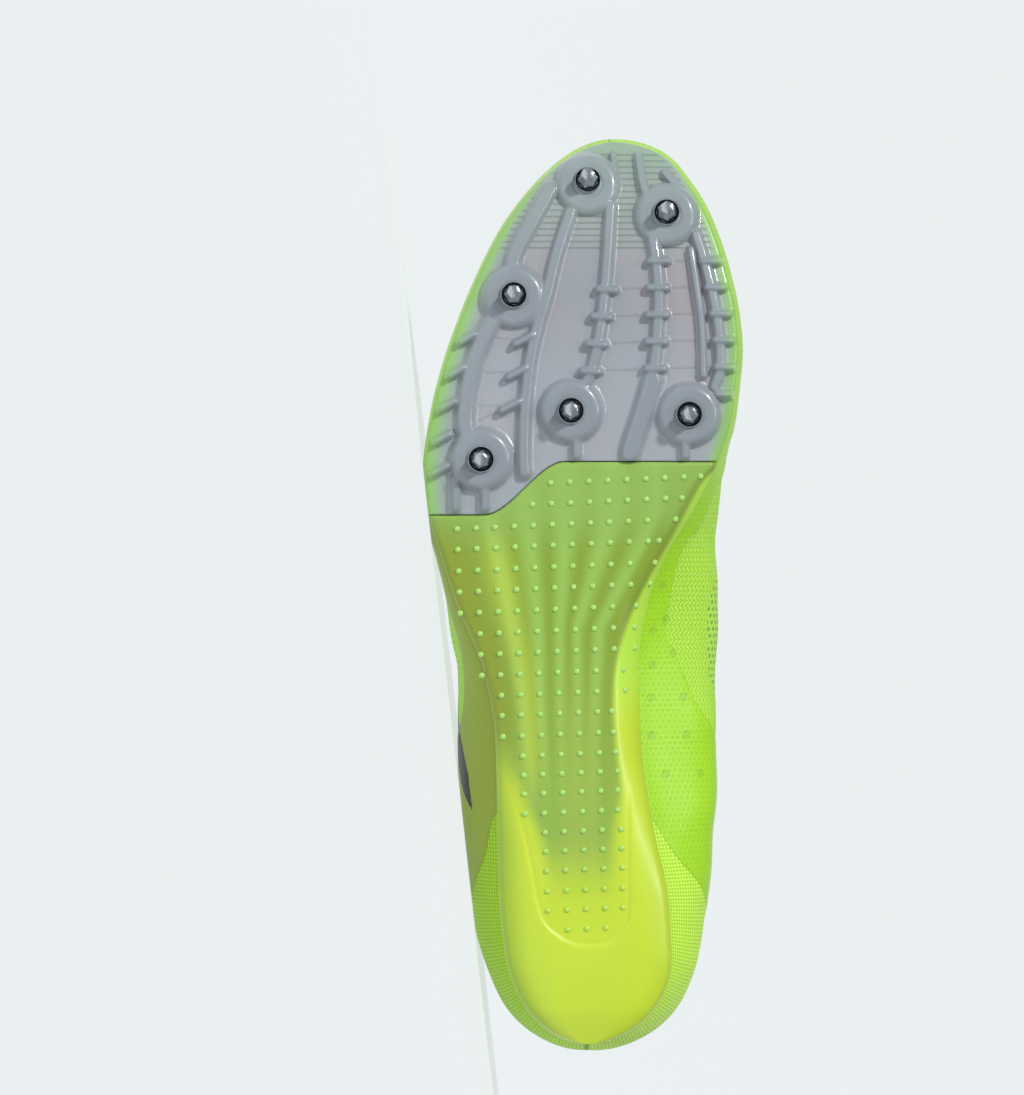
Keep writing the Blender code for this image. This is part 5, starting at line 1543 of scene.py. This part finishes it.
POINT_FOOT = 0.0033
POINT_TOP = 0.0021
POINT_SIDES = 6
FACETS = 0.7  # 0 is a round point and 1 a sharply six-sided one
SPIKE_SEGMENTS = 48


def dress_spike(n, along, across, material):
    """One steel spike: a round flange with a recess painted dark as shade, and a faceted point."""
    foot = BOSS_HEIGHT + FIT_GAP
    rim = SPIKE_FLANGE_RADIUS
    crown = foot + SPIKE_FLANGE + SPIKE_LENGTH
    # Radius, height, how dark the groove's painted shade is, and how much of the facets shows
    rows = [
        (0, BOSS_HEIGHT - STEM_LENGTH, 0, 0),
        (STEM_RADIUS, BOSS_HEIGHT - STEM_LENGTH, 0, 0),
        (STEM_RADIUS, foot - 0.0001, 0, 0),
        (rim - 0.0001, foot - 0.0001, 0, 0),
        (rim, foot + 0.0001, 0, 0),
        (rim, foot + 0.0005, 0, 0),
        (rim - 0.0001, foot + 0.0008, 0, 0),
        (rim - 0.0003, foot + 0.0008, 0.3, 0),
        (rim - 0.0005, foot + 0.0003, 1, 0),
        (POINT_FOOT + 0.0001, foot + 0.0003, 1, 0.6),
    ]
    for share in np.linspace(0, 1, 7):
        radius = POINT_FOOT - 0.0001 + (POINT_TOP - POINT_FOOT) * share
        rows.append((radius, foot + 0.0005 + (crown - foot - 0.0008) * share, 0.3 if share == 0 else 0, 1))
    rows += [(POINT_TOP - 0.0002, crown - 0.0001, 0, 1), (POINT_TOP - 0.0004, crown, 0, 1), (0, crown, 0, 0)]
    points, faces = turned([row[:2] for row in rows], SPIKE_SEGMENTS)
    counts = [SPIKE_SEGMENTS if row[0] > 0 else 1 for row in rows]
    painted_recess_shade, faceted = (np.repeat([row[k] for row in rows], counts) for k in (2, 3))
    angle = np.arctan2(points[:, 1], points[:, 0]) + 0.35 + 0.6 * n
    sector = angle % (2 * math.pi / POINT_SIDES) - math.pi / POINT_SIDES
    facet = 1.06 * math.cos(math.pi / POINT_SIDES) / np.cos(sector)
    points[:, :2] *= (1 + FACETS * faceted * (facet - 1))[:, None]
    numbers = {"radius": np.hypot(points[:, 0], points[:, 1]), "painted_recess_shade": painted_recess_shade}
    seat = spike_frame(along, across)
    points = np.array([seat @ Vector(p) for p in points])
    name, node = f"spike_steel_{n + 1}", f"spike_{n + 1}"
    make_piece(name, points, faces, [material], (node,), numbers, sharp=28)


# The stage

KEY_FROM = (0.52, 0.56, -0.66)  # where the key light stands, in the shoe's frame
KEY_STRENGTH = 2.1
GLINT_FROM = (0.10, 0.82, -0.56)
GLINT_STRENGTH = 0.4
SKY = (0.93, 0.96, 0.97, 1)
SKY_STRENGTH = 0.29
PAPER = (0.820, 0.860, 0.870, 1.0)
PAPER_GLOW = 0.70
PAPER_AMBIENT = 0.58
FLOOR_REACH = 4.0  # to each side and towards the camera
FLOOR_BACK = 0.5  # where the floor begins to curve up
BACKDROP_BEND = 2.4
VIEW_CENTRE = (0.1538, -0.0232, 0.0)
VIEW_DISTANCE = 1.600
VIEW_HEIGHT = 0.3338  # what the picture takes in at the sole, top to bottom
SENSOR = 36


def placed(name, data):
    """A new object in the scene."""
    made = bpy.data.objects.new(name, data)
    bpy.context.scene.collection.objects.link(made)
    return made


def shoe_direction(x, y, z):
    """A direction of the shoe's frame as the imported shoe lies."""
    return Vector(TURN @ np.array((x, y, z), float)).normalized()


def far_light(name, place, strength, angle, tone):
    """A light from one direction, with the width of a distant softbox in degrees."""
    data = bpy.data.lights.new(name, "SUN")
    data.energy = strength
    data.angle = math.radians(angle)
    data.color = tone
    light = placed(name, data)
    light.rotation_mode = "QUATERNION"
    light.rotation_quaternion = shoe_direction(*place).to_track_quat("Z", "Y")


def plain_stage():
    """A pale floor that curves up into a backdrop behind the shoe."""
    turns = np.linspace(0, math.pi / 2, 33)
    profile = [(-FLOOR_REACH, 0.0)]
    profile += [(FLOOR_BACK + BACKDROP_BEND * math.sin(a), BACKDROP_BEND * (1 - math.cos(a))) for a in turns]
    points = [(x, y, z) for x in (-FLOOR_REACH, FLOOR_REACH) for y, z in profile]
    count = len(profile)
    mesh = bpy.data.meshes.new("floor")
    mesh.from_pydata(points, [], [[n, n + 1, n + 1 + count, n + count] for n in range(count - 1)])
    mesh.shade_smooth()
    # The paper darkens where the key light is strong, so that floor and backdrop look alike
    f = Finish("studio_paper", Roughness=0.95)
    normal = f.node("NewGeometry", {}).outputs["Normal"]
    facing = f.node("VectorMath", {0: normal, 1: shoe_direction(*KEY_FROM)}, operation="DOT_PRODUCT")
    key = f.times(f.math("MAXIMUM", facing.outputs["Value"], 0.0), KEY_STRENGTH / math.pi)
    lit = f.add(key, f.add(PAPER_AMBIENT, f.times(f.split(normal)[2], -0.15)))
    f.show("Base Color", f.mix(f.math("DIVIDE", 1 - PAPER_GLOW, lit), (0, 0, 0, 1), PAPER))
    f.show("Emission Color", PAPER)
    f.show("Emission Strength", PAPER_GLOW)
    f.show("Specular IOR Level", 0.1)
    mesh.materials.append(f.material)
    placed("floor", mesh)


def light_and_camera():
    """Soft studio light from the upper inner side, and the photograph's camera."""
    centre = Vector(TURN @ np.array(VIEW_CENTRE) + SHIFT)
    toe, inner, into = shoe_direction(1, 0, 0), shoe_direction(0, 1, 0), shoe_direction(0, 0, 1)
    far_light("key", KEY_FROM, KEY_STRENGTH, 5, (1.0, 0.99, 0.97))
    far_light("glint", GLINT_FROM, GLINT_STRENGTH, 12, (1.0, 1.0, 1.0))
    world = bpy.data.worlds.new("studio")
    world.use_nodes = True
    sky = world.node_tree.nodes["Background"].inputs
    sky[0].default_value, sky[1].default_value = SKY, SKY_STRENGTH
    bpy.context.scene.world = world
    data = bpy.data.cameras.new("camera")
    data.sensor_width = SENSOR
    data.lens = SENSOR * VIEW_DISTANCE / VIEW_HEIGHT
    data.clip_start, data.clip_end = 0.01, 20
    camera = placed("camera", data)
    turn = Matrix((inner, toe, -into)).transposed().to_4x4()
    camera.matrix_world = Matrix.Translation(centre - into * VIEW_DISTANCE) @ turn
    bpy.context.scene.camera = camera
    bpy.context.scene.view_settings.view_transform = "Standard"


light_and_camera()
plain_stage()
steel = steel_finish()
dress_plate(plate_finish())
dress_rear_sole(rear_finish())
sections, last_open, outer, number = dress_upper(upper_finish(), lining_finish())
dress_binding(binding_finish(), sections, outer, number)
dress_stitches(thread_finish(), sections, last_open, outer, number)
dress_insole(insole_finish())
dress_tongue(tongue_finish())
dress_laces(lace_finish())
for n, row in enumerate(SPIKES):
    dress_spike(n, *row, steel)
